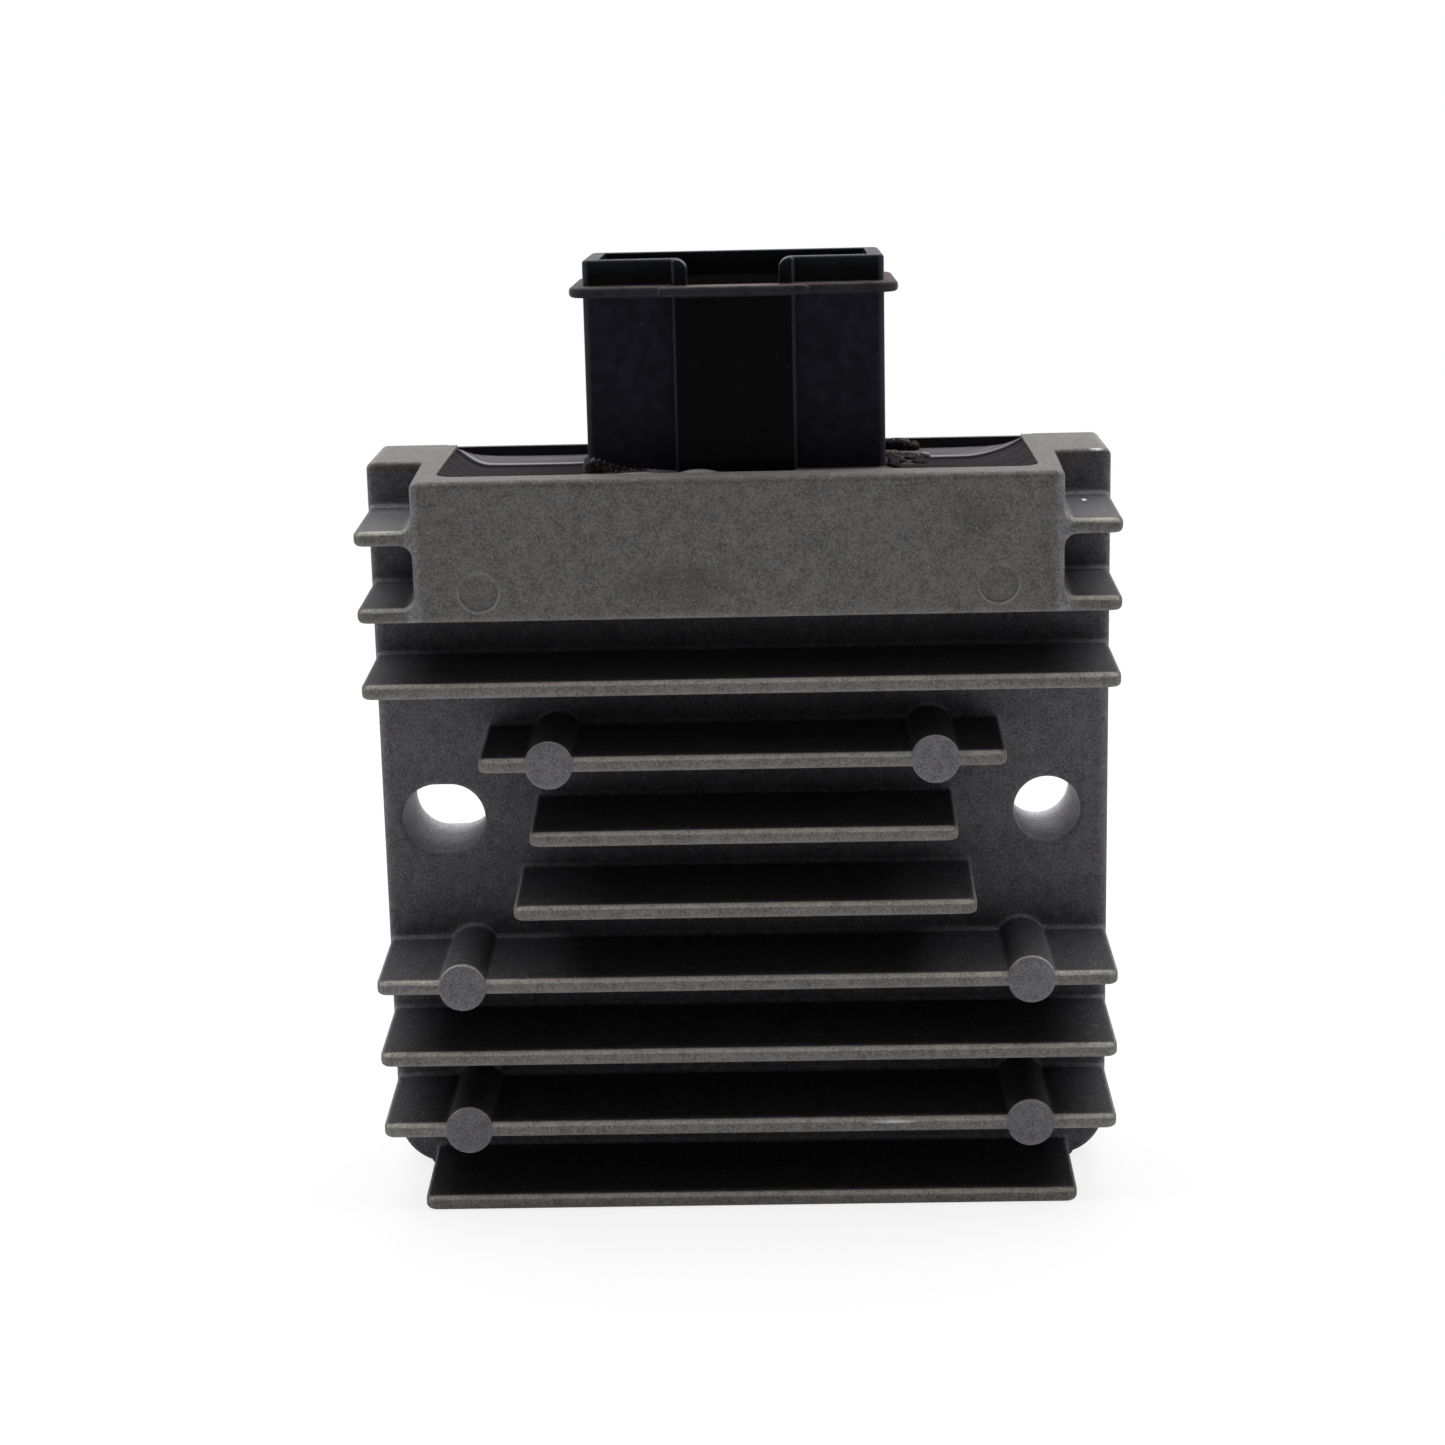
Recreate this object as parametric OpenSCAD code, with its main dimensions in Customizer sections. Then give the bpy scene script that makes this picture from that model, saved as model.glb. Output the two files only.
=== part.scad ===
// Motorcycle voltage regulator rectifier: a finned die casting with a terminal
// box at its top, potted electronics behind a thin cover, and a plug connector.
// Millimetres. The mounting face is the plane Y = 0, the fins point towards -Y,
// the connector points up, and Z = 0 is the line through the two bolt holes.

/* [Base plate of the casting] */
// Width of the plate
plate_w = 76.8; // [74:0.2:90]
// Thickness of the plate, from the mounting face to the fin roots
plate_t = 12; // [11:0.5:16]
// Height of the plate above the bolt holes, at the mounting face
plate_up = 38.5; // [37:0.5:46]
// Depth of the plate below the bolt holes
plate_down = 39; // [38.5:0.5:46]
// Radius of the two lower corners
plate_corner_r = 5.3; // [2:0.1:8]
// Draft of the cast faces, in degrees
draft = 1.95; // [0.5:0.05:3]
// Reach of the flattened back corners
back_chamfer = 1; // [0.4:0.1:2]

/* [Bolt holes] */
// Distance from the axis of a bolt hole to the plate's side
hole_inset = 6.4; // [6:0.1:8]
// Diameter of the round hole, for an M6 bolt
hole_d = 7; // [6.4:0.1:7.6]
// Width of the slot
slot_w = 7.4; // [6.6:0.1:7.8]
// Length of the slot from end to end
slot_l = 8.8; // [8:0.1:9.6]

/* [Fins] */
// Height of the fins above the plate
fin_h = 13.2; // [11:0.2:18]
// Distance from one fin to the next
fin_pitch = 7.78; // [7:0.02:8]
// Drop of the first fin below the plate's top edge
fin_first_drop = 6.4; // [5.5:0.1:7.5]
// Rise of the last fin above the plate's lower edge
last_fin_rise = 0.78; // [0.76:0.01:1.3]
// Thickness of a fin at its root
fin_root_t = 2.6; // [2:0.1:3]
// Thickness of a fin at its tip
fin_tip_t = 1.5; // [1:0.1:1.8]
// Radius along the tip edges
fin_edge_r = 0.5; // [0.2:0.05:0.6]
// Radius of the tip's two end corners
fin_end_r = 1.2; // [0.5:0.1:2]
// Radius of the fillet at the root
fin_root_r = 0.7; // [0.3:0.1:1]
// Distance from the end of the fourth fin to the bolt's axis
fin4_gap = 5.1; // [4.5:0.1:8]
// Distance from the end of the fifth fin to the bolt's axis
fin5_gap = 10; // [5:0.1:14]
// Distance from the end of the sixth fin to the bolt's axis
fin6_gap = 8.1; // [5:0.1:14]
// Distance from the end of the last fin to the plate's side
last_fin_gap = 4.1; // [0.5:0.1:10]

/* [Ejector posts] */
// Diameter of a post at its flat end
post_d = 4.85; // [4:0.05:6]
// How far the posts stand past the fin tips
post_proud = 0.15; // [0:0.05:0.5]
// Radius of the fillet at a post's root
post_root_r = 0.7; // [0.3:0.1:1]
// Distance of the upper posts from the ends of their fin
post_upper_gap = 7.4; // [5:0.1:14]
// Distance of the middle posts from the plate's sides
post_middle_gap = 9.2; // [5:0.1:12]
// Distance of the lower posts from the plate's sides
post_lower_gap = 9.25; // [5:0.05:12]

/* [Terminal box] */
// Distance from the box's side to the plate's side
box_inset = 5.65; // [4.4:0.05:6.4]
// Thickness of the front wall
box_front_wall = 3.2; // [2.5:0.1:4]
// Thickness of the side walls at the rim
box_side_wall = 2.4; // [1.8:0.1:3]
// Thickness of the floor
box_floor = 2.4; // [1.8:0.1:3]
// Radius along the front edges
box_edge_r = 1.3; // [0.5:0.1:2]
// Radius of the fillets between the box's sides and the fins
box_fillet_r = 1.3; // [0.5:0.1:1.6]
// Diameter of the two ejector marks
mark_d = 4; // [3:0.1:6]
// Distance of the marks from the box's sides
mark_gap = 6.95; // [5:0.05:10]
// Rise of the marks above the box's underside
mark_rise = 3.58; // [3.2:0.02:10]
// Depth of the marks
mark_depth = 0.12; // [0.05:0.01:0.3]

/* [Chamber behind the fins] */
// Thickness of metal left between the chamber and the slot
chamber_side_wall = 3.1; // [2.1:0.1:5]
// Thickness of metal left below the chamber
chamber_bottom_wall = 5; // [3:0.5:8]
// Thickness of metal between the chamber and the fins
chamber_front_wall = 4.4; // [3.5:0.1:5.5]
// Radius of the chamber's corners
chamber_r = 2; // [1:0.5:4]

/* [Back cover] */
// Thickness of the cover
cover_t = 1; // [0.6:0.1:1.6]
// Width of the ledge that carries the cover
cover_ledge = 1.2; // [0.8:0.1:1.6]
// Drop of the cover's top edge below the casting
cover_drop = 0.25; // [0.1:0.05:1]

/* [Potting] */
// Drop of the potting below the plate's top edge
potting_drop = 1.1; // [1:0.1:2.5]

/* [Connector housing] */
// Width of the housing
plug_w = 30.1; // [29:0.1:34]
// Depth of the housing
plug_d = 15.8; // [15:0.1:16.2]
// Wall of the housing
plug_wall = 1.5; // [1.2:0.1:1.8]
// Radius of the upright edges
plug_r = 0.9; // [0.3:0.1:1.4]
// Gap between the housing and the back cover
plug_back_gap = 0.7; // [0.5:0.1:1.2]
// Rise of the rim above the plate's top edge
plug_rise = 20; // [18:0.5:30]
// Depth of the housing's underside below the plate's top edge
plug_sunk = 5.5; // [4.5:0.1:6]
// Thickness of the floor that holds the blades
plug_floor_t = 8; // [6:0.5:10]
// Width of the raised middle of the front wall
key_w = 12.1; // [9:0.1:14]
// How far the middle stands forward
key_out = 1.6; // [0.8:0.1:1.8]
// Underside of the flange, below the rim
flange_drop = 3.65; // [2.5:0.05:8]
// Thickness of the flange
flange_t = 1.05; // [0.8:0.05:2]
// Overhang of the flange
flange_out = 1.4; // [0.8:0.1:2]
// Radius at the mouth of the lock notch
notch_r = 1.2; // [0.5:0.1:1.5]

/* [Blade terminals] */
// Width of a blade
blade_w = 6.3; // [4.8:0.1:6.6]
// Thickness of a blade
blade_t = 0.8; // [0.5:0.1:1]
// Distance between blades side by side
blade_pitch = 8.6; // [7.5:0.1:8.8]
// Distance between the two rows
blade_row = 8; // [7.6:0.1:8.2]
// Depth of the blade tips below the rim
blade_sunk = 5.5; // [3:0.5:9]
// Width of the solder tail
tail_w = 2.4; // [1.5:0.1:4]
// Length of the solder tail below the housing
tail_l = 4; // [2:0.5:5]
// Diameter of the lock hole in a blade
blade_hole_d = 1.7; // [1:0.1:2]

/* [Boards and parts] */
// Thickness of both boards
board_t = 1.6; // [1:0.1:2]
// Gap between the power board and the chamber's side walls
power_board_side_gap = 1.5; // [0.5:0.5:3]
// Gap between the power board and the chamber's lower wall
power_board_gap = 1; // [0.5:0.5:3]
// Gap between the power board and the housing's underside
power_board_drop = 1.5; // [1:0.5:3]
// Length of a power package
package_l = 10; // [8:0.5:12]
// Width of a power package
package_w = 9; // [7:0.5:10]
// Height of a power package
package_h = 2.3; // [1.5:0.1:2.6]
// Width of a package's legs
package_leg_w = 0.8; // [0.5:0.1:1.2]
// Rise of the thyristors above the power board's lower edge
thyristor_rise = 42; // [32:0.5:46]
// Rise of the diodes above the power board's lower edge
diode_rise = 19; // [8:0.5:20]
// Gap between the control board and the pocket's side walls
control_board_side_gap = 7.1; // [2:0.1:9]
// Gap between the control board and the housing's underside
control_board_drop = 0.8; // [0.6:0.1:1]
// Height of the control board
control_board_h = 6; // [5.5:0.1:6.2]
// Length of the control chip
chip_l = 8.6; // [6:0.2:10]
// Width of the control chip
chip_w = 3.8; // [3:0.1:4]
// Thickness of the control chip
chip_t = 1.6; // [1:0.1:2]
// Distance between the chip's legs
chip_leg_pitch = 1.2; // [1:0.1:1.3]
// Length of the zener diode
zener_l = 3.6; // [3:0.1:4]
// Diameter of the zener diode
zener_d = 1.6; // [1.2:0.1:2]
// Length of a chip resistor
resistor_l = 3.2; // [2:0.1:4]
// Width of a chip resistor
resistor_w = 1.6; // [1:0.1:2]
// Thickness of a chip resistor
resistor_t = 0.6; // [0.4:0.1:0.8]
// Diameter of the filter capacitor
capacitor_d = 5; // [3:0.1:5.4]
// Gap between the filter capacitor and the pocket's front wall
capacitor_gap = 1.4; // [1:0.1:3.4]
// Diameter of the link pins between the boards
link_pin_d = 0.8; // [0.5:0.1:1]

/* [Hidden] */
$fn = 48;
arc_steps = 6;
past = 1;                 // how far a cutting shape runs past what it cuts
box_fin = 2;              // the terminal box ends on this fin's underside
upper_post_fin = 4;
middle_post_fin = 7;
hole_x = plate_w / 2 - hole_inset;
fin_first_z = plate_up - fin_first_drop;
fin_last_z = last_fin_rise - plate_down;
fin_count = round((fin_first_z - fin_last_z) / fin_pitch) + 1;
front_y = -plate_t;
tip_y = front_y - fin_h;
fin_half = plate_w / 2 - 0.05;
fin_slope = atan((fin_root_t - fin_tip_t) / 2 / fin_h);
chamber_y = front_y + chamber_front_wall;
chamber_bottom = -plate_down + chamber_bottom_wall;
chamber_w = 2 * (hole_x - slot_l / 2 - chamber_side_wall);
box_w = plate_w - 2 * box_inset;
box_bottom = fin_z(box_fin) - fin_root_t / 2;
pocket_w = box_w - 2 * (box_side_wall + fin_h * tan(draft) / 2);
pocket_floor = box_bottom + box_floor;
pocket_y = tip_y + box_front_wall;
potting_z = plate_up - potting_drop;
plug_top_z = plate_up + plug_rise;
plug_bottom_z = plate_up - plug_sunk;
plug_back = -cover_t - plug_back_gap;
plug_mid = plug_back - plug_d / 2;
plug_floor = plug_bottom_z + plug_floor_t;
flange_z = plug_top_z - flange_drop;
tail_z = plug_bottom_z - tail_l;
// The back row's tails lie on the power board, the front row's on the control board.
back_row_y = plug_mid + blade_row / 2;
front_row_y = plug_mid - blade_row / 2;
power_face = chamber_y + board_t;
control_back = front_row_y - blade_t / 2;
control_face = control_back - board_t;
capacitor_h = control_face - pocket_y - capacitor_gap;
control_z = plug_bottom_z - control_board_drop - control_board_h;
control_mid_z = control_z + control_board_h / 2;
control_board_w = pocket_w - 2 * control_board_side_gap;
power_board_w = chamber_w - 2 * power_board_side_gap;
power_board_z = chamber_bottom + power_board_gap;
package_pitch = (power_board_w + package_w) / 4;
// The link pins stand evenly between the outer tails and the boards' ends.
tail_edge = blade_pitch + tail_w / 2;
link_pin_step = (min(control_board_w, power_board_w) / 2 - tail_edge) / 3;

function fin_z(k) = k == fin_count ? fin_last_z : fin_first_z - (k - 1) * fin_pitch;
function top_z(y) = plate_up + y * tan(draft);
function fin_half_of(k) =
    k == 4 ? hole_x - fin4_gap : k == 5 ? hole_x - fin5_gap : k == 6 ? hole_x - fin6_gap
    : k == fin_count ? plate_w / 2 - last_fin_gap : fin_half;
function arc(c, r, a0, a1) =
    [for (i = [0:arc_steps]) let (a = a0 + (a1 - a0) * i / arc_steps) c + r * [cos(a), sin(a)]];

// Extrusion of an outline drawn in X and Z, from the mounting face towards the fins
module from_back(depth) rotate([90, 0, 0]) linear_extrude(depth) children();
// Extrusion of a profile drawn in Y and Z, centred on the middle of the part
module across(width) rotate([90, 0, 90]) linear_extrude(width, center = true) children();

module rounded_square(w, h, r) {
    square([w - 2 * r, h], center = true);
    square([w, h - 2 * r], center = true);
    for (x = [-1, 1], y = [-1, 1]) translate([x * (w / 2 - r), y * (h / 2 - r)]) circle(r);
}

// Front view of the plate: the lower corners are round, the top is cut by the draft
module plate_outline() {
    r = plate_corner_r;
    translate([-plate_w / 2, -plate_down + r]) square([plate_w, plate_up + plate_down - r]);
    translate([-plate_w / 2 + r, -plate_down]) square([plate_w - 2 * r, r + past]);
    for (x = [-1, 1]) translate([x * (plate_w / 2 - r), -plate_down + r]) circle(r);
}

// Side view of the plate with its drafted top
module plate_profile() polygon([[0, -plate_down], [0, top_z(0)], [front_y, top_z(front_y)],
    [front_y, -plate_down]]);

// Plan of the plate with its flattened back corners
module plate_plan() {
    x = plate_w / 2;
    c = back_chamfer;
    polygon([[-x, front_y], [x, front_y], [x, -c], [x - c, 0], [c - x, 0], [-x, -c]]);
}

module plate_body() intersection() {
    from_back(plate_t) plate_outline();
    across(plate_w + past) plate_profile();
    translate([0, 0, -plate_down]) linear_extrude(plate_up + plate_down) plate_plan();
}

// Section of a fin: drafted flanks, a rounded tip and a filleted root.
// down is the half thickness below the fin's middle at the root.
module fin_profile(down) {
    r = fin_edge_r;
    half = fin_tip_t / 2;
    down_slope = atan((down - half) / fin_h);
    root = front_y + past;
    polygon(concat(
        [[root, -down]],
        arc([tip_y + r, r - half], r, 270 - down_slope, 180),
        arc([tip_y + r, half - r], r, 180, 90 + fin_slope),
        [[root, fin_root_t / 2]]));
    fillet_profile(fin_root_t / 2, 1);
    if (down == fin_root_t / 2) fillet_profile(down, -1);
}

module fillet_profile(at, side) {
    r = fin_root_r;
    c = [front_y - r, side * (at + r - r * tan(fin_slope))];
    polygon(concat([[front_y + past, side * (at - r)], [front_y - r, side * (at - r)]],
        arc(c, r, -90 * side, 0), [[front_y + past, c[1]]]));
}

// Plan of a fin: the ends narrow a little towards the tip and have round corners
module fin_plan(half) {
    r = fin_end_r;
    tip = half - fin_h * tan(draft) / 2;
    polygon(concat([[half, front_y + past], [half, front_y]],
        arc([tip - r, tip_y + r], r, 0, -90), arc([r - tip, tip_y + r], r, 270, 180),
        [[-half, front_y], [-half, front_y + past]]));
}

module fin(k) intersection() {
    down = k == fin_count ? plate_down + fin_z(k) : fin_root_t / 2;
    translate([0, 0, fin_z(k)]) across(plate_w + past) fin_profile(down);
    translate([0, 0, fin_z(k) - fin_pitch / 2]) linear_extrude(fin_pitch) fin_plan(fin_half_of(k));
}

// A round post with a drafted side and a filleted root, centred on a fin
module post(x, k) translate([x, front_y + past, fin_z(k)]) rotate([90, 0, 0]) {
    r = post_root_r;
    length = fin_h + post_proud + past;
    foot = post_d / 2 + length * tan(draft) / 2;
    cylinder(h = length, r1 = foot, r2 = post_d / 2);
    rotate_extrude() polygon(concat([[0, 0], [foot + r, 0]],
        arc([foot + r - r * tan(draft), past + r], r, 270, 180), [[0, past + r]]));
}

// Side view of the terminal box: its underside runs on from the fin beneath it
module box_profile() {
    r = box_edge_r / 2;
    low = fin_z(box_fin) - fin_tip_t / 2;
    high = top_z(tip_y);
    polygon(concat([[-plate_t / 2, box_bottom], [front_y, box_bottom]],
        arc([tip_y + r, low + r], r, 270, 180), arc([tip_y + r, high - r], r, 180, 90),
        [[-plate_t / 2, top_z(-plate_t / 2)]]));
}

module box_plan() {
    r = box_edge_r;
    back = box_w / 2;
    front = back - fin_h * tan(draft);
    polygon(concat([[back, -plate_t / 2], [back, front_y]],
        arc([front - r, tip_y + r], r, 0, -90), arc([r - front, tip_y + r], r, 270, 180),
        [[-back, front_y], [-back, -plate_t / 2]]));
}

module box_body() intersection() {
    across(box_w + past) box_profile();
    translate([0, 0, box_bottom - past]) linear_extrude(plate_up) box_plan();
}

// Fillet in the corner between the box's side and a fin's flank, above or below the fin
module box_fillet(side, k, up) {
    r = box_fillet_r;
    x = box_w / 2 - fin_h * tan(draft) / 2;
    z = (fin_root_t + fin_tip_t) / 4;
    translate([0, front_y + past, fin_z(k)]) from_back(fin_h + past - box_edge_r) difference() {
        translate([side * (x + r / 2 - past / 4), up * (z + r / 2 - past / 4)])
            square(r + past / 2, center = true);
        translate([side * (x + r), up * (z + r)]) circle(r);
    }
}

// Everything hollow inside the casting, up to the height given
module chamber_space(up_to) {
    h = pocket_floor + past - chamber_bottom;
    translate([0, -cover_t, chamber_bottom + h / 2]) from_back(-chamber_y - cover_t)
        rounded_square(chamber_w, h, chamber_r);
    d = -cover_t - pocket_y;
    translate([0, pocket_y + d / 2, pocket_floor]) linear_extrude(up_to - pocket_floor)
        pocket_plan(pocket_w, d);
}

// Plan of the pocket: round corners at the front, square ones where the cover closes it
module pocket_plan(w, d) {
    r = chamber_r;
    rounded_square(w, d, r);
    translate([-w / 2, 0]) square([w, d / 2]);
}

// Outline of the cover, grown by a ledge over the chamber and the pocket
module cover_outline(up_to) {
    low = chamber_bottom - cover_ledge;
    shoulder = pocket_floor - cover_ledge;
    w = chamber_w + 2 * cover_ledge;
    translate([0, (low + shoulder) / 2 + past]) rounded_square(w, shoulder - low + 2 * past, chamber_r);
    translate([-pocket_w / 2 - cover_ledge, shoulder])
        square([pocket_w + 2 * cover_ledge, up_to - shoulder]);
}

module slot_outline() {
    run = slot_l - slot_w;
    square([run, slot_w], center = true);
    for (x = [-1, 1]) translate([x * run / 2, 0]) circle(d = slot_w);
}

module heat_sink() color([0.36, 0.355, 0.345]) difference() {
    union() {
        plate_body();
        box_body();
        for (k = [1:fin_count]) fin(k);
        for (side = [-1, 1]) {
            post(side * (fin_half_of(upper_post_fin) - post_upper_gap), upper_post_fin);
            post(side * (plate_w / 2 - post_middle_gap), middle_post_fin);
            post(side * (plate_w / 2 - post_lower_gap), fin_count - 1);
            box_fillet(side, 1, 1);
            box_fillet(side, 1, -1);
            box_fillet(side, box_fin, 1);
        }
    }
    chamber_space(plate_up + past);
    translate([0, past, 0]) from_back(cover_t + past) cover_outline(plate_up + past);
    translate([hole_x, past, 0]) rotate([90, 0, 0]) cylinder(h = plate_t + 2 * past, d = hole_d);
    translate([-hole_x, past, 0]) from_back(plate_t + 2 * past) slot_outline();
    for (side = [-1, 1])
        translate([side * (box_w / 2 - mark_gap), tip_y + mark_depth, box_bottom + mark_rise])
            rotate([90, 0, 0]) cylinder(h = past, d = mark_d);
}

module back_cover() color([0.11, 0.11, 0.12]) from_back(cover_t)
    cover_outline(top_z(-cover_t) - cover_drop);

// Plan of the connector at a distance inside or, if negative, outside its walls
module plug_plan(inset) {
    w = plug_w - 2 * inset;
    d = plug_d - 2 * inset;
    r = max(plug_r - inset, 0.2);
    translate([0, plug_mid]) rounded_square(w, d, r);
    translate([-key_w / 2 + inset, plug_mid - plug_d / 2 - key_out + inset])
        square([key_w - 2 * inset, key_out + plug_d / 2]);
}

// Front view of the lock notch, which widens at its mouth in two round corners
module notch_outline() {
    w = key_w - 2 * plug_wall;
    low = flange_z + flange_t;
    translate([-w / 2, low]) square([w, plug_top_z + past - low]);
    for (side = [-1, 1]) difference() {
        translate([side * w / 2 - notch_r, plug_top_z - notch_r]) square([2 * notch_r, notch_r + past]);
        translate([side * (w / 2 + notch_r), plug_top_z - notch_r]) circle(notch_r);
    }
}

module connector_housing() color([0.05, 0.055, 0.065]) difference() {
    union() {
        translate([0, 0, plug_bottom_z]) linear_extrude(plug_top_z - plug_bottom_z) plug_plan(0);
        translate([0, 0, flange_z]) linear_extrude(flange_t) plug_plan(-flange_out);
    }
    translate([0, 0, plug_floor]) linear_extrude(plug_top_z + past - plug_floor) plug_plan(plug_wall);
    translate([0, plug_mid - plug_d / 2 + plug_wall, 0]) from_back(key_out + plug_wall + flange_out)
        notch_outline();
    for (i = [1:6]) terminal_solid(i);
}

// Front view of a blade: chamfered tip, lock hole, and a narrower solder tail
module blade_outline() {
    w = blade_w / 2;
    c = blade_w / 5;
    top = plug_top_z - blade_sunk;
    difference() {
        polygon([[-w, plug_bottom_z + 1], [-w, top - c], [c - w, top], [w - c, top], [w, top - c],
            [w, plug_bottom_z + 1], [tail_w / 2, plug_bottom_z + 1], [tail_w / 2, tail_z],
            [-tail_w / 2, tail_z], [-tail_w / 2, plug_bottom_z + 1]]);
        translate([0, top - blade_w * 0.65]) circle(d = blade_hole_d);
    }
}

// Terminals 1 to 3 are the front row and 4 to 6 the back row, from left to right
module terminal_solid(i) {
    column = (i - 1) % 3 - 1;
    y = i <= 3 ? front_row_y : back_row_y;
    translate([column * blade_pitch, y + blade_t / 2, 0]) from_back(blade_t) blade_outline();
}

module terminal(i) color([0.72, 0.66, 0.5]) terminal_solid(i);

module board_between(w, z0, z1, back) translate([-w / 2, back - board_t, z0])
    cube([w, board_t, z1 - z0]);

module power_board() color([0.55, 0.56, 0.58])
    board_between(power_board_w, power_board_z, plug_bottom_z - power_board_drop, power_face);

module control_board() color([0.1, 0.35, 0.2])
    board_between(control_board_w, control_z, control_z + control_board_h, control_back);

// A power package lies on the power board: moulded body, metal tab above, legs below
module package(x, z, legs) translate([x, power_face, z]) {
    w = package_w;
    l = package_l * 0.7;
    c = package_h / 6;
    rotate([90, 0, 90]) linear_extrude(w, center = true) polygon([[0, -l / 2], [package_h / 2, -l / 2],
        [package_h, c - l / 2], [package_h, l / 2 - c], [package_h / 2, l / 2], [0, l / 2]]);
    translate([-w * 0.42, 0, l / 2]) cube([w * 0.84, package_h * 0.4, package_l * 0.15]);
    for (i = [0:legs - 1])
        translate([(i - (legs - 1) / 2) * w / 3 - package_leg_w / 2, 0, -l / 2 - package_l * 0.15])
            cube([package_leg_w, package_h * 0.3, package_l * 0.15]);
}

module thyristor(i) color([0.13, 0.13, 0.14])
    package((i - 2) * package_pitch, power_board_z + thyristor_rise, 3);
module diode(i) color([0.13, 0.13, 0.14])
    package((i - 2) * package_pitch, power_board_z + diode_rise, 2);

// The control chip: a flat body with a row of legs above and below it
module control_chip() color([0.1, 0.1, 0.11]) translate([0, control_face, control_mid_z]) {
    leg = chip_leg_pitch / 3;
    translate([-chip_l / 2, -chip_t, -chip_w / 2]) cube([chip_l, chip_t, chip_w]);
    for (i = [-3:3]) translate([i * chip_leg_pitch - leg / 2, -leg, -chip_w / 2 - 2 * leg])
        cube([leg, leg, chip_w + 4 * leg]);
}

module filter_capacitor() color([0.65, 0.66, 0.68])
    translate([-control_board_w * 0.38, control_face, control_mid_z]) rotate([90, 0, 0]) {
        cylinder(h = capacitor_h, d = capacitor_d - 0.5);
        cylinder(h = capacitor_h * 0.25, d = capacitor_d);
        translate([0, 0, capacitor_h * 0.35]) cylinder(h = capacitor_h * 0.65, d = capacitor_d);
    }

module zener_diode() color([0.5, 0.15, 0.1])
    translate([-control_board_w * 0.22, control_face - zener_d / 2, control_mid_z])
        rotate([0, 90, 0]) cylinder(h = zener_l, d = zener_d, center = true);

module chip_resistor(i) color([0.12, 0.12, 0.13])
    translate([control_board_w * (0.1 + 0.1 * i) - resistor_w / 2, control_face - resistor_t,
        control_mid_z - resistor_l / 2]) cube([resistor_w, resistor_t, resistor_l]);

// Four pins cross from the control board to the free upper end of the power board
module link_pins() color([0.8, 0.8, 0.82])
    for (side = [-1, 1], i = [1, 2])
        translate([side * (tail_edge + i * link_pin_step), chamber_y, control_mid_z])
            rotate([90, 0, 0]) cylinder(h = chamber_y - control_back, d = link_pin_d);

module boards_and_parts() {
    power_board();
    control_board();
    for (i = [1:3]) {
        thyristor(i);
        diode(i);
        chip_resistor(i);
    }
    control_chip();
    filter_capacitor();
    zener_diode();
    link_pins();
}

// The resin fills the chamber and the pocket round everything that stands in them
module potting_compound() color([0.06, 0.06, 0.07]) difference() {
    chamber_space(potting_z);
    translate([0, 0, plug_bottom_z]) linear_extrude(plug_floor_t) plug_plan(0);
    for (i = [1:6]) terminal_solid(i);
    boards_and_parts();
}

heat_sink();
back_cover();
connector_housing();
terminal(1);  // terminal_1
terminal(2);  // terminal_2
terminal(3);  // terminal_3
terminal(4);  // terminal_4
terminal(5);  // terminal_5
terminal(6);  // terminal_6
potting_compound();
power_board();
thyristor(1);  // thyristor_1
thyristor(2);  // thyristor_2
thyristor(3);  // thyristor_3
diode(1);  // diode_1
diode(2);  // diode_2
diode(3);  // diode_3
control_board();
control_chip();
filter_capacitor();
zener_diode();
chip_resistor(1);  // chip_resistor_1
chip_resistor(2);  // chip_resistor_2
chip_resistor(3);  // chip_resistor_3
link_pins();
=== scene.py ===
# %% [markdown]
# # A voltage regulator rectifier, from the outside in
# The part is a dark aluminium casting full of fins, with a black plug connector that
# stands in a pool of black resin at its top. The frame that is loaded here is the exact
# model of its pieces. Everything below dresses that frame and never moves it.

# %% Load the frame
import math
import bmesh
import bpy
from mathutils import Matrix, Vector


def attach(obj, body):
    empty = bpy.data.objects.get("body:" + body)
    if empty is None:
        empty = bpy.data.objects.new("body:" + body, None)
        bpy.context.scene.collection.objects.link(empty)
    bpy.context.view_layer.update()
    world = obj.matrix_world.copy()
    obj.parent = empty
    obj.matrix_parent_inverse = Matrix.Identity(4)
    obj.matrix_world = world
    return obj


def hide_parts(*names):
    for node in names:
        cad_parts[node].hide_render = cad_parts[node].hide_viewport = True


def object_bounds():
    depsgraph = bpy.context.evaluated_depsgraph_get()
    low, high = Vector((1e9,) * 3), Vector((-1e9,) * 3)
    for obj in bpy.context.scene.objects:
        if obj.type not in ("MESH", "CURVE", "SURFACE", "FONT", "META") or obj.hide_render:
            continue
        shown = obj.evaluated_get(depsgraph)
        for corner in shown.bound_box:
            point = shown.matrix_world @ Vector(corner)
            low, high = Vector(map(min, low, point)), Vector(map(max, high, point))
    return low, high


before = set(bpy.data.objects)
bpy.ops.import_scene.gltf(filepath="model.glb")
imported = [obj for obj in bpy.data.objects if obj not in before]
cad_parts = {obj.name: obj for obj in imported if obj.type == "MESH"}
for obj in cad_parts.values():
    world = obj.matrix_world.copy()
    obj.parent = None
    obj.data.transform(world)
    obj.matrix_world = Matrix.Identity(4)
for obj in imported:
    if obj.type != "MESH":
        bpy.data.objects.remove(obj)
cad_low, cad_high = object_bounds()
MM = 0.001
print("nodes:", len(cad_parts), "size mm:", [round(v / MM, 1) for v in cad_high - cad_low])

# %% [markdown]
# ## Tools for modelling
# Each new piece starts as a primitive at its real size and is then shaped in edit mode.
# Edges and faces are picked in code by where they are, as a hand would click them, and an
# operator does the work. All sizes are given in millimetres.

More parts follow.
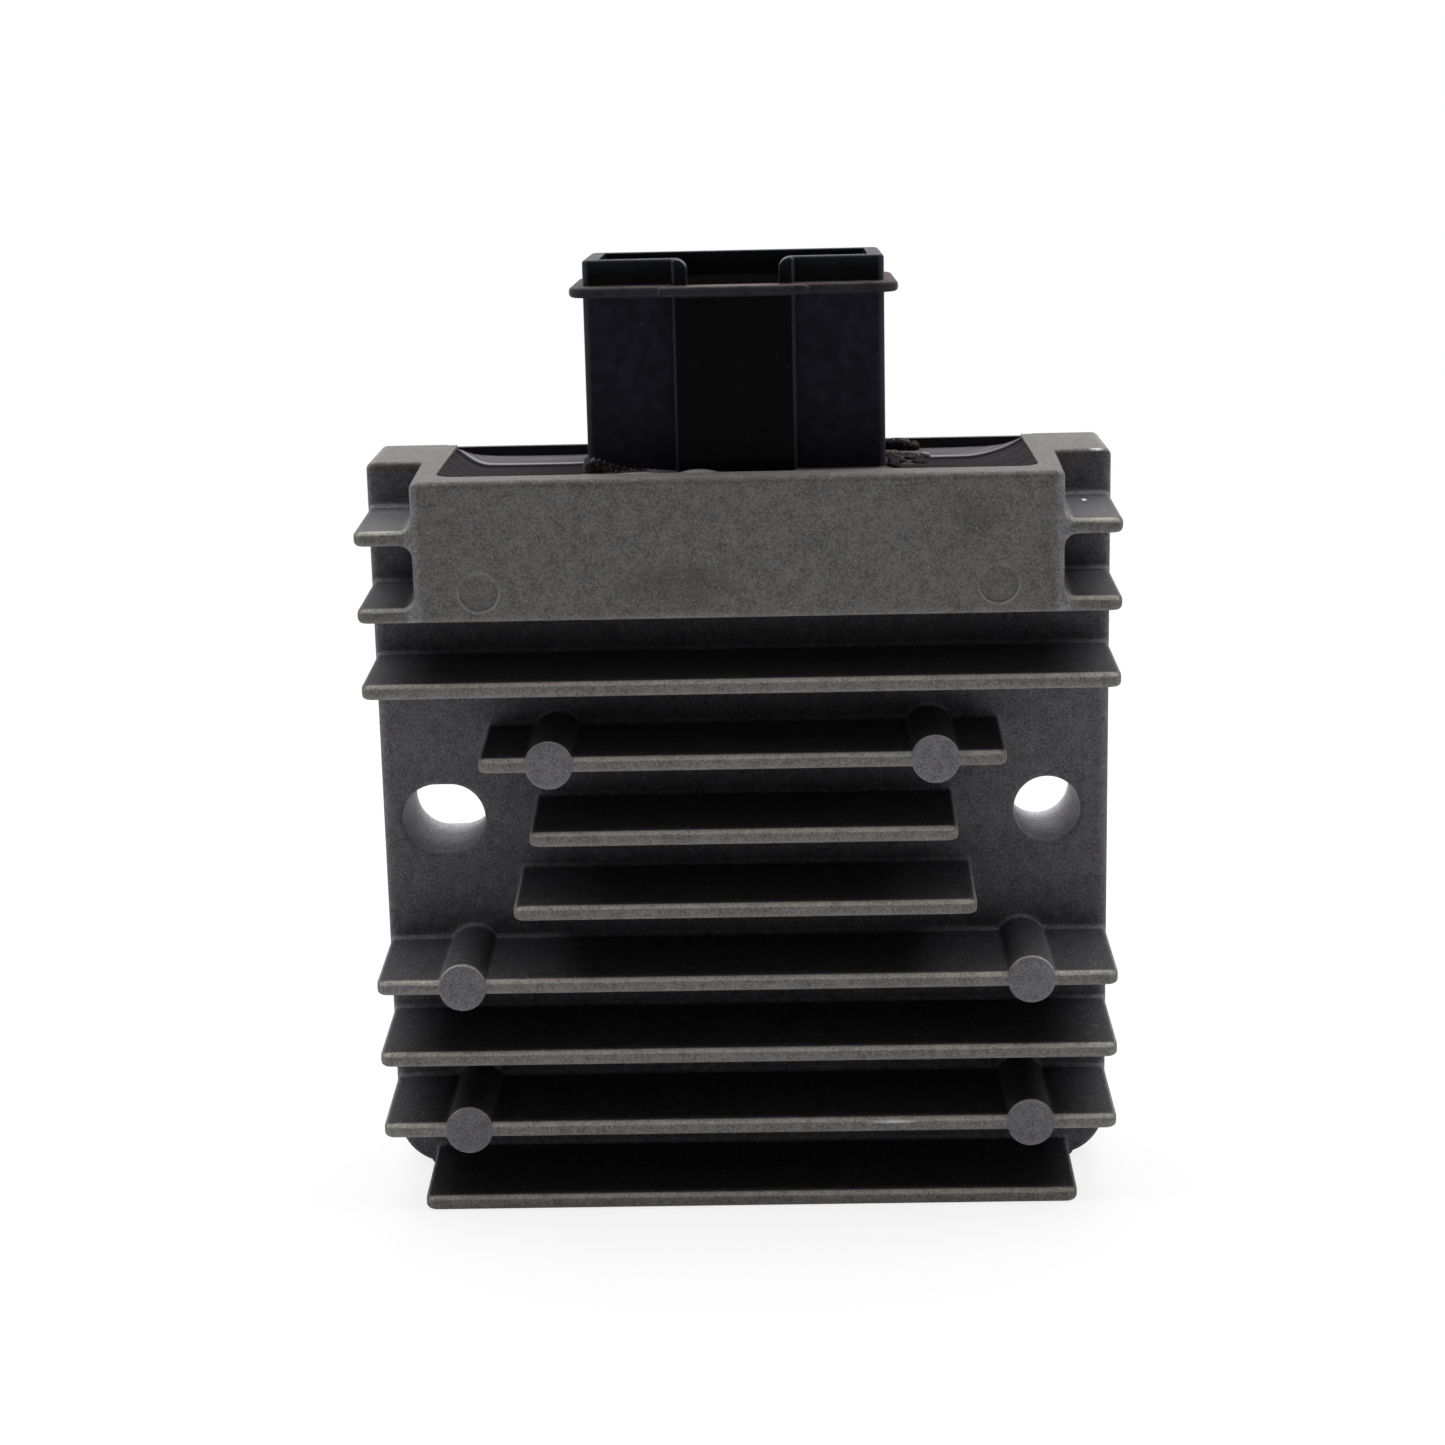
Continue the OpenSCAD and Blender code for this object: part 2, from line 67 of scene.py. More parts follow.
# %% Selecting by place
def only(piece):
    """Selects one object and makes it the active one."""
    bpy.ops.object.select_all(action="DESELECT")
    piece.select_set(True)
    bpy.context.view_layer.objects.active = piece
    return piece


def settle(piece):
    """Puts the object's origin at the frame's origin, with its place in its mesh."""
    only(piece)
    bpy.ops.object.transform_apply(location=True, rotation=True, scale=True)
    return piece


def pick(piece, kind, test):
    """Enters edit mode and selects the vertices, edges or faces that pass a test."""
    only(piece)
    bpy.ops.object.mode_set(mode="EDIT")
    bpy.ops.mesh.select_mode(type=kind)
    bpy.ops.mesh.select_all(action="DESELECT")
    mesh = bmesh.from_edit_mesh(piece.data)
    parts = {"VERT": mesh.verts, "EDGE": mesh.edges, "FACE": mesh.faces}[kind]
    for part in parts:
        if test(part):
            part.select_set(True)
    mesh.select_flush_mode()
    bmesh.update_edit_mesh(piece.data)


def leave_edit():
    bpy.ops.object.mode_set(mode="OBJECT")


def middle(part):
    """The middle of an edge or a face, in millimetres."""
    points = [v.co for v in part.verts]
    return sum(points, Vector()) / len(points) / MM


# %% Primitives and edit operators
def block(name, low, high):
    """A box between two corners."""
    low, high = Vector(low) * MM, Vector(high) * MM
    bpy.ops.mesh.primitive_cube_add(size=1, location=(low + high) / 2)
    piece = bpy.context.object
    piece.name = name
    piece.scale = high - low
    return settle(piece)


def rod(name, centre, radius, y_from, y_to, sides=48):
    """A round bar along Y."""
    x, z = centre
    bpy.ops.mesh.primitive_cylinder_add(
        vertices=sides, radius=radius * MM, depth=abs(y_to - y_from) * MM,
        location=(x * MM, (y_from + y_to) / 2 * MM, z * MM), rotation=(math.pi / 2, 0, 0))
    piece = bpy.context.object
    piece.name = name
    return settle(piece)


def bevel(piece, test, width, segments=4):
    """Rounds the edges that pass a test."""
    pick(piece, "EDGE", test)
    bpy.ops.mesh.bevel(offset=width * MM, segments=segments, profile=0.5, affect="EDGES")
    leave_edit()
    return piece


def shift(piece, test, vector):
    """Moves the vertices that pass a test."""
    pick(piece, "VERT", lambda v: test(v.co / MM))
    bpy.ops.transform.translate(value=Vector(vector) * MM)
    leave_edit()
    return piece


def extrude(x=0.0, y=0.0, z=0.0):
    """Extrudes the selected faces by a step."""
    bpy.ops.mesh.extrude_region_move(TRANSFORM_OT_translate={"value": (x * MM, y * MM, z * MM)})


def flare(piece, y_face, centre, half, radius, steps=4):
    """Extrudes the end face at y_face towards the plate, so that it opens in a fillet.
    half is the face's half width in X and Z; a zero keeps that direction straight."""
    pick(piece, "FACE", lambda f: f.normal.y > 0.9 and abs(middle(f).y - y_face) < 0.01)
    grown = 0.0
    for i in range(1, steps + 1):
        angle = math.pi / 2 * i / steps
        before = math.pi / 2 * (i - 1) / steps
        out = radius * (1 - math.cos(angle))
        step = radius * (math.sin(angle) - math.sin(before))
        extrude(y=step)
        factor = [(h + out) / (h + grown) if h else 1.0 for h in half]
        bpy.ops.transform.resize(value=(factor[0], 1, factor[1]),
                                 center_override=Vector((centre[0], 0, centre[1])) * MM)
        grown = out
    extrude(y=1)
    leave_edit()
    return piece


def combine(base, pieces, operation):
    """Joins pieces to a base, or cuts them from it, and applies each cut."""
    for piece in pieces:
        cut = base.modifiers.new(operation.lower(), "BOOLEAN")
        cut.operation = operation
        cut.solver = "MANIFOLD"
        cut.object = piece
        only(base)
        bpy.ops.object.modifier_apply(modifier=cut.name)
        bpy.data.objects.remove(piece)
    return base


def triangulate(piece):
    """Splits a piece's faces into triangles, so that a hole can be cut in a broad one."""
    split = piece.modifiers.new("split", "TRIANGULATE")
    only(piece)
    bpy.ops.object.modifier_apply(modifier=split.name)
    return piece


def smooth(piece, degrees=32):
    """Shades round stretches smooth and keeps broad faces flat and edges sharp."""
    only(piece)
    bpy.ops.object.shade_smooth_by_angle(angle=math.radians(degrees))
    weighted = piece.modifiers.new("weighted", "WEIGHTED_NORMAL")
    weighted.keep_sharp = True
    bpy.ops.object.modifier_apply(modifier=weighted.name)
    return piece


# %% [markdown]
# ## The casting's sizes
# These are the sizes that the casting was designed to. The mounting face lies at Y = 0,
# the plate's front at -12 and the fin tips at -25.2. Z is measured from the bolt holes.

# %% Casting sizes
PLATE_W, PLATE_T, PLATE_UP, PLATE_DOWN = 76.8, 12.0, 38.5, 39.0
DRAFT = math.tan(math.radians(1.95))
CORNER_R = 5.3
FIN_H, FIN_PITCH, FIN_FIRST_Z, LAST_FIN_DROP = 13.2, 7.78, 32.1, 0.3
FIN_ROOT_T, FIN_TIP_T, FIN_ROOT_R, FIN_END_R, FIN_EDGE_R = 2.6, 1.5, 0.7, 1.2, 0.5
FIN_COUNT = 10
SHORT_FINS = {4: 26.9, 5: 22.0, 6: 23.9, 10: 34.3}
POSTS = [(19.5, 4), (29.2, 7), (29.15, 9)]
POST_R, POST_PROUD, POST_TAPER = 2.425, 0.15, 0.22
BOX_W, BOX_EDGE_R, BOX_FRONT_WALL, BOX_SIDE_WALL, BOX_FLOOR = 65.5, 1.3, 3.2, 2.4, 2.4
CHAMBER_W, CHAMBER_FRONT_WALL, CHAMBER_BOTTOM_WALL, CHAMBER_R = 49.0, 4.4, 5.0, 2.0
COVER_T, COVER_LEDGE, COVER_DROP, COVER_GAP = 1.0, 1.2, 0.25, 0.06
HOLE_X, HOLE_R, SLOT_R, SLOT_RUN = 32.0, 3.5, 3.7, 1.4
MARK_X, MARK_Z, MARK_R, MARK_DEPTH = 25.8, 26.6, 2.0, 0.12
FRONT_Y = -PLATE_T
TIP_Y = FRONT_Y - FIN_H


def fin_z(k):
    return FIN_FIRST_Z - (k - 1) * FIN_PITCH - (LAST_FIN_DROP if k == FIN_COUNT else 0)


def top_z(y):
    return PLATE_UP + y * DRAFT


BOX_BOTTOM = fin_z(2) - FIN_ROOT_T / 2
POCKET_W = BOX_W - 2 * (BOX_SIDE_WALL + FIN_H * DRAFT / 2)
POCKET_FLOOR = BOX_BOTTOM + BOX_FLOOR
POCKET_Y = TIP_Y + BOX_FRONT_WALL
print("fin heights:", [round(fin_z(k), 1) for k in range(1, FIN_COUNT + 1)])

# %% [markdown]
# ## The plate
# A block with round lower corners and a top that slopes with the draft of the die. Every
# outer edge gets a small radius, because a casting has no sharp edges.

# %% Plate
def sharp(edge, least=50):
    return len(edge.link_faces) == 2 and edge.calc_face_angle() > math.radians(least)


def along(edge, axis):
    """Whether an edge runs along X, Y or Z."""
    a, b = (v.co for v in edge.verts)
    return abs((b - a).normalized()[axis]) > 0.98


def make_plate():
    half = PLATE_W / 2
    plate = block("casting", (-half, FRONT_Y, -PLATE_DOWN), (half, 0, PLATE_UP))
    shift(plate, lambda p: p.y < FRONT_Y + 1 and p.z > 0, (0, 0, -PLATE_T * DRAFT))
    bevel(plate, lambda e: along(e, 1) and middle(e).z < 0, CORNER_R, 14)
    bevel(plate, lambda e: along(e, 1) and middle(e).z > 0, 0.7, 4)
    bevel(plate, lambda e: sharp(e) and middle(e).y > -1, 0.7, 4)
    bevel(plate, lambda e: sharp(e) and middle(e).y < FRONT_Y + 1, 0.35, 3)
    return plate


casting = make_plate()
print("plate faces:", len(casting.data.polygons))

# %% [markdown]
# ## The fins
# A fin starts as a block. Its tip is squeezed for the draft, the two tip corners are
# rounded in plan, and then every long edge. The root is extruded in four steps that widen,
# which makes the fillet where the fin leaves the plate.

# %% Fins
def make_fin(k, slim=0.0):
    """A fin with its root fillet; slim makes it thinner all round by that much."""
    z = fin_z(k)
    half = SHORT_FINS.get(k, PLATE_W / 2 - 0.08) - slim
    full_width = k not in SHORT_FINS
    root = FRONT_Y - FIN_ROOT_R
    up = FIN_ROOT_T / 2 - slim
    down = PLATE_DOWN + z if k == FIN_COUNT else up
    fin = block(f"fin_{k}", (-half, TIP_Y, z - down), (half, root, z + up))
    at_tip = lambda p: p.y < TIP_Y + 0.5
    tip = FIN_TIP_T / 2 - slim
    shift(fin, lambda p: at_tip(p) and p.z > z, (0, 0, tip - up))
    shift(fin, lambda p: at_tip(p) and p.z < z, (0, 0, down - tip))
    shift(fin, lambda p: at_tip(p) and p.x > 0, (-FIN_H * DRAFT / 2, 0, 0))
    shift(fin, lambda p: at_tip(p) and p.x < 0, (FIN_H * DRAFT / 2, 0, 0))
    bevel(fin, lambda e: along(e, 2) and middle(e).y < TIP_Y + 0.5, FIN_END_R, 6)
    bevel(fin, lambda e: sharp(e) and middle(e).y < root - 0.1, FIN_EDGE_R, 4)
    if k == FIN_COUNT:
        flare(fin, root, (0, z - down), (half, up + down), FIN_ROOT_R)
        return fin
    return flare(fin, root, (0, z), (0 if full_width else half, up), FIN_ROOT_R)


fins = [make_fin(k, 0.02 if k < 3 else 0.0) for k in range(1, FIN_COUNT + 1)]
print("fins:", len(fins), "faces in one:", len(fins[0].data.polygons))

# %% [markdown]
# ## The posts
# Six round posts stand on the fins. The die's ejector pins push on their flat ends. They
# are cylinders whose tip is drawn in a little and whose foot flares like a fin's root.

# %% Posts
def make_post(x, k):
    z = fin_z(k)
    tip = TIP_Y - POST_PROUD
    root = FRONT_Y - FIN_ROOT_R
    post = rod(f"post_{k}", (x, z), POST_R + POST_TAPER, root, tip)
    pick(post, "FACE", lambda f: f.normal.y < -0.9)
    squeeze = POST_R / (POST_R + POST_TAPER)
    bpy.ops.transform.resize(value=(squeeze, 1, squeeze), center_override=Vector((x, 0, z)) * MM)
    leave_edit()
    bevel(post, lambda e: sharp(e) and middle(e).y < tip + 0.1, 0.14, 3)
    return flare(post, root, (x, z), (POST_R + POST_TAPER, POST_R + POST_TAPER), FIN_ROOT_R)


posts = [make_post(side * x, k) for x, k in POSTS for side in (-1, 1)]
print("posts:", len(posts))

# %% [markdown]
# ## The terminal box
# The box at the top and the stubs of the first two fins are one form, flush in front. The
# box is extruded upwards in four storeys, and two of them are extruded sideways into the
# stubs. The back is then pulled apart for the draft. Last come the hollow corners beside
# the stubs, and the round edges in front.

# %% Terminal box
def concave(edge):
    return len(edge.link_faces) == 2 and edge.calc_face_angle_signed() < math.radians(-50)


def make_head():
    back_y = FRONT_Y + 1
    spread = back_y - TIP_Y
    t = FIN_TIP_T / 2
    half = BOX_W / 2 - FIN_H * DRAFT
    reach = PLATE_W / 2 - 0.06 - FIN_H * DRAFT / 2 - half
    z = [fin_z(2) - t, fin_z(2) + t, fin_z(1) - t, fin_z(1) + t, top_z(TIP_Y)]
    head = block("head", (-half, TIP_Y, z[0]), (half, back_y, z[1]))
    for low, high in zip(z[1:], z[2:]):
        pick(head, "FACE", lambda f: f.normal.z > 0.9)
        extrude(z=high - low)
        leave_edit()
    for side in (-1, 1):
        pick(head, "FACE", lambda f: f.normal.x * side > 0.9
             and (middle(f).z < z[1] or z[2] < middle(f).z < z[3]))
        extrude(x=side * reach)
        leave_edit()
    thicker = spread * (FIN_ROOT_T - FIN_TIP_T) / 2 / FIN_H
    rises = (-thicker, thicker, -thicker, thicker, spread * DRAFT)
    for level, rise in zip(z, rises):
        shift(head, lambda p: p.y > back_y - 0.1 and abs(p.z - level) < 0.02, (0, 0, rise))
    for side in (-1, 1):
        shift(head, lambda p: p.y > back_y - 0.1 and abs(p.x - side * half) < 0.1,
              (side * spread * DRAFT, 0, 0))
        shift(head, lambda p: p.y > back_y - 0.1 and side * p.x > half + 1,
              (side * spread * DRAFT / 2, 0, 0))
    only(head)
    bpy.ops.object.mode_set(mode="EDIT")
    bpy.ops.mesh.select_all(action="SELECT")
    bpy.ops.mesh.dissolve_limited(angle_limit=math.radians(1))
    leave_edit()
    bevel(head, lambda e: along(e, 2) and middle(e).y < TIP_Y + 0.1
          and abs(middle(e).x) > half + 1, FIN_END_R, 6)
    bevel(head, concave, BOX_EDGE_R, 6)
    bevel(head, lambda e: sharp(e, 40) and not concave(e) and middle(e).y < back_y - 0.3, 0.6, 4)
    return head


head = make_head()
combine(casting, fins + posts + [head], "UNION")
print("casting faces:", len(casting.data.polygons))

# %% [markdown]
# ## What is cut from the casting
# The pocket and the chamber behind the fins are one hollow, and a thin step round it
# carries the cover. The two bolt holes run right through. The ejector marks on the box
# are shallow round dents.

# %% Cutters
def make_pocket():
    half = POCKET_W / 2
    pocket = block("pocket", (-half, POCKET_Y, POCKET_FLOOR),
                   (half, -COVER_T + 0.05, PLATE_UP + 3))
    return bevel(pocket, lambda e: along(e, 2) and middle(e).y < -10, CHAMBER_R, 6)


def make_chamber():
    half = CHAMBER_W / 2
    low = -PLATE_DOWN + CHAMBER_BOTTOM_WALL
    chamber = block("chamber", (-half, FRONT_Y + CHAMBER_FRONT_WALL, low),
                    (half, -COVER_T + 0.05, POCKET_FLOOR + 1))
    return bevel(chamber, lambda e: along(e, 1) and middle(e).z < 0, CHAMBER_R, 5)


def cover_block(name, y_low, y_high, top, gap):
    """The cover's T-shaped outline as a solid, or its recess if gap is zero."""
    shoulder = POCKET_FLOOR - COVER_LEDGE
    low = -PLATE_DOWN + CHAMBER_BOTTOM_WALL - COVER_LEDGE + gap
    narrow = CHAMBER_W / 2 + COVER_LEDGE - gap
    wide = POCKET_W / 2 + COVER_LEDGE - gap
    tail = block(name, (-narrow, y_low, low), (narrow, y_high, shoulder + 4))
    bevel(tail, lambda e: along(e, 1) and middle(e).z < 0, CHAMBER_R, 5)
    head = block("head", (-wide, y_low, shoulder + gap), (wide, y_high, top))
    return combine(tail, [head], "UNION")


def make_hole():
    """The round hole's cutter, with a lip that rounds its front edge."""
    hole = rod("hole", (HOLE_X, 0), HOLE_R, 1, FRONT_Y + 0.3, 64)
    pick(hole, "FACE", lambda f: f.normal.y < -0.9)
    for out, step in ((0.05, -0.12), (0.17, -0.1), (0.4, -0.09)):
        extrude(y=step)
        wider = (HOLE_R + out) / HOLE_R
        bpy.ops.transform.resize(value=(wider, 1, wider), center_override=(HOLE_X * MM, 0, 0))
    leave_edit()
    return hole


def make_slot():
    """The slot's cutter: a round one that is pulled apart in the middle."""
    slot = make_hole()
    slot.name = "slot"
    only(slot)
    bpy.ops.transform.resize(value=(SLOT_R / HOLE_R, 1, SLOT_R / HOLE_R),
                             center_override=(HOLE_X * MM, 0, 0))
    bpy.ops.transform.translate(value=(-2 * HOLE_X * MM, 0, 0))
    settle(slot)
    shift(slot, lambda p: p.x > -HOLE_X + 0.01, (SLOT_RUN / 2, 0, 0))
    return shift(slot, lambda p: p.x < -HOLE_X - 0.01, (-SLOT_RUN / 2, 0, 0))


def make_mark(side):
    mark = rod("mark", (side * MARK_X, MARK_Z), MARK_R - 0.06, TIP_Y - 1, TIP_Y + MARK_DEPTH, 48)
    return bevel(mark, lambda e: sharp(e) and middle(e).y > TIP_Y, 0.1, 2)


def make_burr(side):
    """The fine raised line that an ejector pin leaves round its mark."""
    burr = rod("burr", (side * MARK_X, MARK_Z), MARK_R + 0.09, TIP_Y + 0.5, TIP_Y - 0.06, 48)
    return bevel(burr, lambda e: sharp(e) and middle(e).y < TIP_Y, 0.055, 2)


combine(casting, [make_burr(-1), make_burr(1)], "UNION")
triangulate(casting)
recess = cover_block("recess", -COVER_T, 1, PLATE_UP + 3, 0)
combine(casting, [make_pocket(), make_chamber(), recess, make_hole(), make_slot(),
                  make_mark(-1), make_mark(1)], "DIFFERENCE")
smooth(casting)
print("casting faces after cuts:", len(casting.data.polygons))

# %% [markdown]
# ## The back cover
# A thin dark sheet lies flush in the casting's back. Only its top edge shows from the
# front, as the far wall of the pocket. It is cut to the recess with a hair's gap.

# %% Back cover
cover = cover_block("cover_sheet", -COVER_T, 0, top_z(-COVER_T) - COVER_DROP, COVER_GAP)
bevel(cover, lambda e: sharp(e) and middle(e).y > -0.1, 0.12, 2)
smooth(cover)
print("cover faces:", len(cover.data.polygons))

# %% [markdown]
# ## The connector housing
# The shroud is moulded in one: a box with a raised middle at the front, a flange just below
# the rim, and a notch for the plug's lock. Each part of it is a rounded block, and the
# socket is cut last, so that the wall has the same thickness all round.

# %% Housing sizes
PLUG_W, PLUG_D, PLUG_WALL, PLUG_R, PLUG_GAP = 30.1, 15.8, 1.5, 0.9, 0.7
PLUG_BACK = -COVER_T - PLUG_GAP
PLUG_FRONT = PLUG_BACK - PLUG_D
PLUG_TOP, PLUG_BOTTOM, PLUG_FLOOR = 58.5, 33.0, 41.0
KEY_W, KEY_OUT = 12.1, 1.6
FLANGE_Z, FLANGE_T, FLANGE_OUT = 54.85, 1.05, 1.4
NOTCH_R = 1.2


# %% Housing
def plug_block(name, inset, low, high, round_all=0.0):
    """The housing's plan at a distance inside its walls, between two heights."""
    half = PLUG_W / 2 - inset
    body = block(name, (-half, PLUG_FRONT + inset, low), (half, PLUG_BACK - inset, high))
    bevel(body, lambda e: along(e, 2), max(PLUG_R - inset, 0.25), 5)
    key = KEY_W / 2 - inset
    front = PLUG_FRONT - KEY_OUT + inset
    rib = block("rib", (-key, front, low), (key, PLUG_FRONT + 4, high))
    bevel(rib, lambda e: along(e, 2) and middle(e).y < PLUG_FRONT, 0.4, 3)
    combine(body, [rib], "UNION")
    if round_all:
        bevel(body, lambda e: sharp(e, 70) and abs(middle(e).z - high) < 0.01, round_all, 3)
    return body


def make_notch():
    """The lock notch: a block through the key's front, with a mouth that opens out."""
    half = KEY_W / 2 - PLUG_WALL
    low = FLANGE_Z + FLANGE_T
    y = (PLUG_FRONT - KEY_OUT - 3, PLUG_FRONT + PLUG_WALL + 0.02)
    notch = block("notch", (-half, y[0], low), (half, y[1], PLUG_TOP + 1))
    for side in (-1, 1):
        x = sorted((side * (half - 1), side * (half + NOTCH_R)))
        mouth = block("mouth", (x[0], y[0], PLUG_TOP - NOTCH_R), (x[1], y[1], PLUG_TOP + 1))
        corner = rod("corner", (side * (half + NOTCH_R), PLUG_TOP - NOTCH_R), NOTCH_R,
                     y[0] - 1, y[1] + 1)
        combine(notch, [combine(mouth, [corner], "DIFFERENCE")], "UNION")
    return notch


def make_housing():
    housing = plug_block("shroud", 0, PLUG_BOTTOM, PLUG_TOP, 0.3)
    flange = plug_block("flange", -FLANGE_OUT, FLANGE_Z, FLANGE_Z + FLANGE_T)
    bevel(flange, lambda e: sharp(e, 70) and not along(e, 2), 0.38, 3)
    combine(housing, [flange], "UNION")
    socket = plug_block("socket", PLUG_WALL, PLUG_FLOOR, PLUG_TOP + 1)
    combine(housing, [socket, make_notch()], "DIFFERENCE")
    return smooth(housing)


housing = make_housing()
print("housing faces:", len(housing.data.polygons))

# %% [markdown]
# ## The resin
# The resin was poured in round the connector and wet the walls before it set, so it climbs
# them in a hollow curve. The pool starts as a fine grid with depth. Its points are weighted
# by how near they are to a wall, and a displacement lifts them by that weight.

# %% Resin pool
RESIN_Z = 37.1
LIFT = 1.0
SWELLS = ((-9.9, 3.9), (-3.8, 2.1))


def fade(distance, height, reach):
    return height * math.exp(-max(distance, 0.0) / reach)


def plug_distance(x, y):
    """The distance from the connector's plan, with its raised middle."""
    outside = []
    for half, front in ((PLUG_W / 2, PLUG_FRONT), (KEY_W / 2, PLUG_FRONT - KEY_OUT)):
        dx, dy = max(abs(x) - half, 0.0), max(front - y, y - PLUG_BACK, 0.0)
        outside.append(math.hypot(dx, dy))
    return min(outside)


def swell(x):
    """Two low swells of resin on the front wall, left of the middle."""
    return sum(max(0.0, 1 - ((x - centre) / half) ** 2) for centre, half in SWELLS)


def climb(x, y):
    """How far the resin stands above its level at a place in the pool."""
    height = fade(POCKET_W / 2 - abs(x), 1.0, 1.5) + fade(-COVER_T - y, 0.08, 1.0)
    height += fade(y - POCKET_Y, 0.2, 1.1) + fade(y - POCKET_Y, 0.8 * swell(x), 3.2)
    height += fade(plug_distance(x, y), 0.3, 0.6)
    return min(height, top_z(y) - 0.12 - RESIN_Z)


def make_pool():
    width, depth = POCKET_W - 0.02, POCKET_Y * -1 - COVER_T - 0.02
    bpy.ops.mesh.primitive_grid_add(x_subdivisions=150, y_subdivisions=54, size=1,
                                    location=(0, (POCKET_Y - COVER_T) / 2 * MM, RESIN_Z * MM))
    pool = bpy.context.object
    pool.name = "resin"
    pool.scale = (width * MM, depth * MM, 1)
    settle(pool)
    pick(pool, "FACE", lambda f: True)
    extrude(z=POCKET_FLOOR + 0.01 - RESIN_Z)
    bpy.ops.mesh.select_all(action="SELECT")
    bpy.ops.mesh.normals_make_consistent(inside=False)
    leave_edit()
    group = pool.vertex_groups.new(name="climb")
    for v in pool.data.vertices:
        if v.co.z / MM > RESIN_Z - 1:
            group.add([v.index], climb(v.co.x / MM, v.co.y / MM) / LIFT, "REPLACE")
    lift = pool.modifiers.new("lift", "DISPLACE")
    lift.direction, lift.mid_level, lift.strength = "Z", 0.0, LIFT * MM
    lift.vertex_group = group.name
    only(pool)
    bpy.ops.object.modifier_apply(modifier=lift.name)
    pocket = make_pocket()
    settled = plug_block("room", -0.005, PLUG_BOTTOM, PLUG_TOP + 1)
    combine(pool, [pocket], "INTERSECT")
    return combine(pool, [settled], "DIFFERENCE")


resin = make_pool()
print("resin faces:", len(resin.data.polygons))

# %% [markdown]
# ## Crusts of resin
# Right of the connector the resin set in torn lumps, and a ragged film of it climbs the
# connector's lower left corner. Each lump is a ball that is flattened, roughened by moving
# its points at random with a fixed seed, and joined to the pool.

# %% Lumps
ROUGHNESS = 0.12


def make_lump(centre, size, seed):
    bpy.ops.mesh.primitive_ico_sphere_add(subdivisions=3, radius=MM, location=Vector(centre) * MM)
    lump = bpy.context.object
    lump.name = f"lump_{seed}"
    lump.scale = size
    settle(lump)
    pick(lump, "VERT", lambda v: True)
    bpy.ops.transform.vertex_random(offset=ROUGHNESS * min(size) * MM, uniform=1.0, normal=0.5,
                                    seed=seed)
    leave_edit()
    return lump


CRUST = [((16.9, -1.75, 37.75), (1.55, 0.6, 0.62)), ((18.6, -2.0, 37.55), (0.75, 0.7, 0.5)),
         ((16.2, -7.2, 37.3), (1.0, 1.5, 0.45)), ((17.9, -8.6, 37.25), (1.1, 1.7, 0.4)),
         ((19.4, -7.6, 37.15), (0.7, 1.1, 0.35)), ((16.4, -11.5, 37.3), (0.9, 1.6, 0.5)),
         ((18.7, -12.4, 37.15), (0.8, 1.0, 0.35)), ((15.9, -15.8, 37.3), (0.7, 1.1, 0.6))]
BEADS = 13


def make_crust():
    lumps = [make_lump(place, size, 10 + i) for i, (place, size) in enumerate(CRUST)]
    for i in range(BEADS):
        along_x = i / (BEADS - 1)
        x = -PLUG_W / 2 - 0.05 + 7.4 * along_x
        edge = 39.1 - 1.75 * along_x ** 0.7 + 0.14 * math.sin(7.0 * i)
        low = RESIN_Z - 0.25
        lumps.append(make_lump((x, PLUG_FRONT - 0.06, (edge + low) / 2),
                               (0.4, 0.16, (edge - low) / 2), 40 + i))
    combine(resin, lumps, "UNION")
    return combine(resin, [plug_block("room", -0.005, PLUG_BOTTOM, PLUG_TOP + 1)], "DIFFERENCE")


make_crust()
smooth(resin, 50)
print("resin faces with crust:", len(resin.data.polygons))

# %% [markdown]
# ## Finishes
# Some effects are used by more than one finish, so each is a node group: the grain of a
# surface, a scatter of small specks, and a soft spot at a place, for single marks.

# %% Node helpers
def new_group(name, inputs, outputs):
    group = bpy.data.node_groups.new(name, "ShaderNodeTree")
    for title, kind, value in inputs:
        socket = group.interface.new_socket(title, in_out="INPUT", socket_type=kind)
        if value is not None:
            socket.default_value = value
    for title, kind in outputs:
        group.interface.new_socket(title, in_out="OUTPUT", socket_type=kind)
    return group


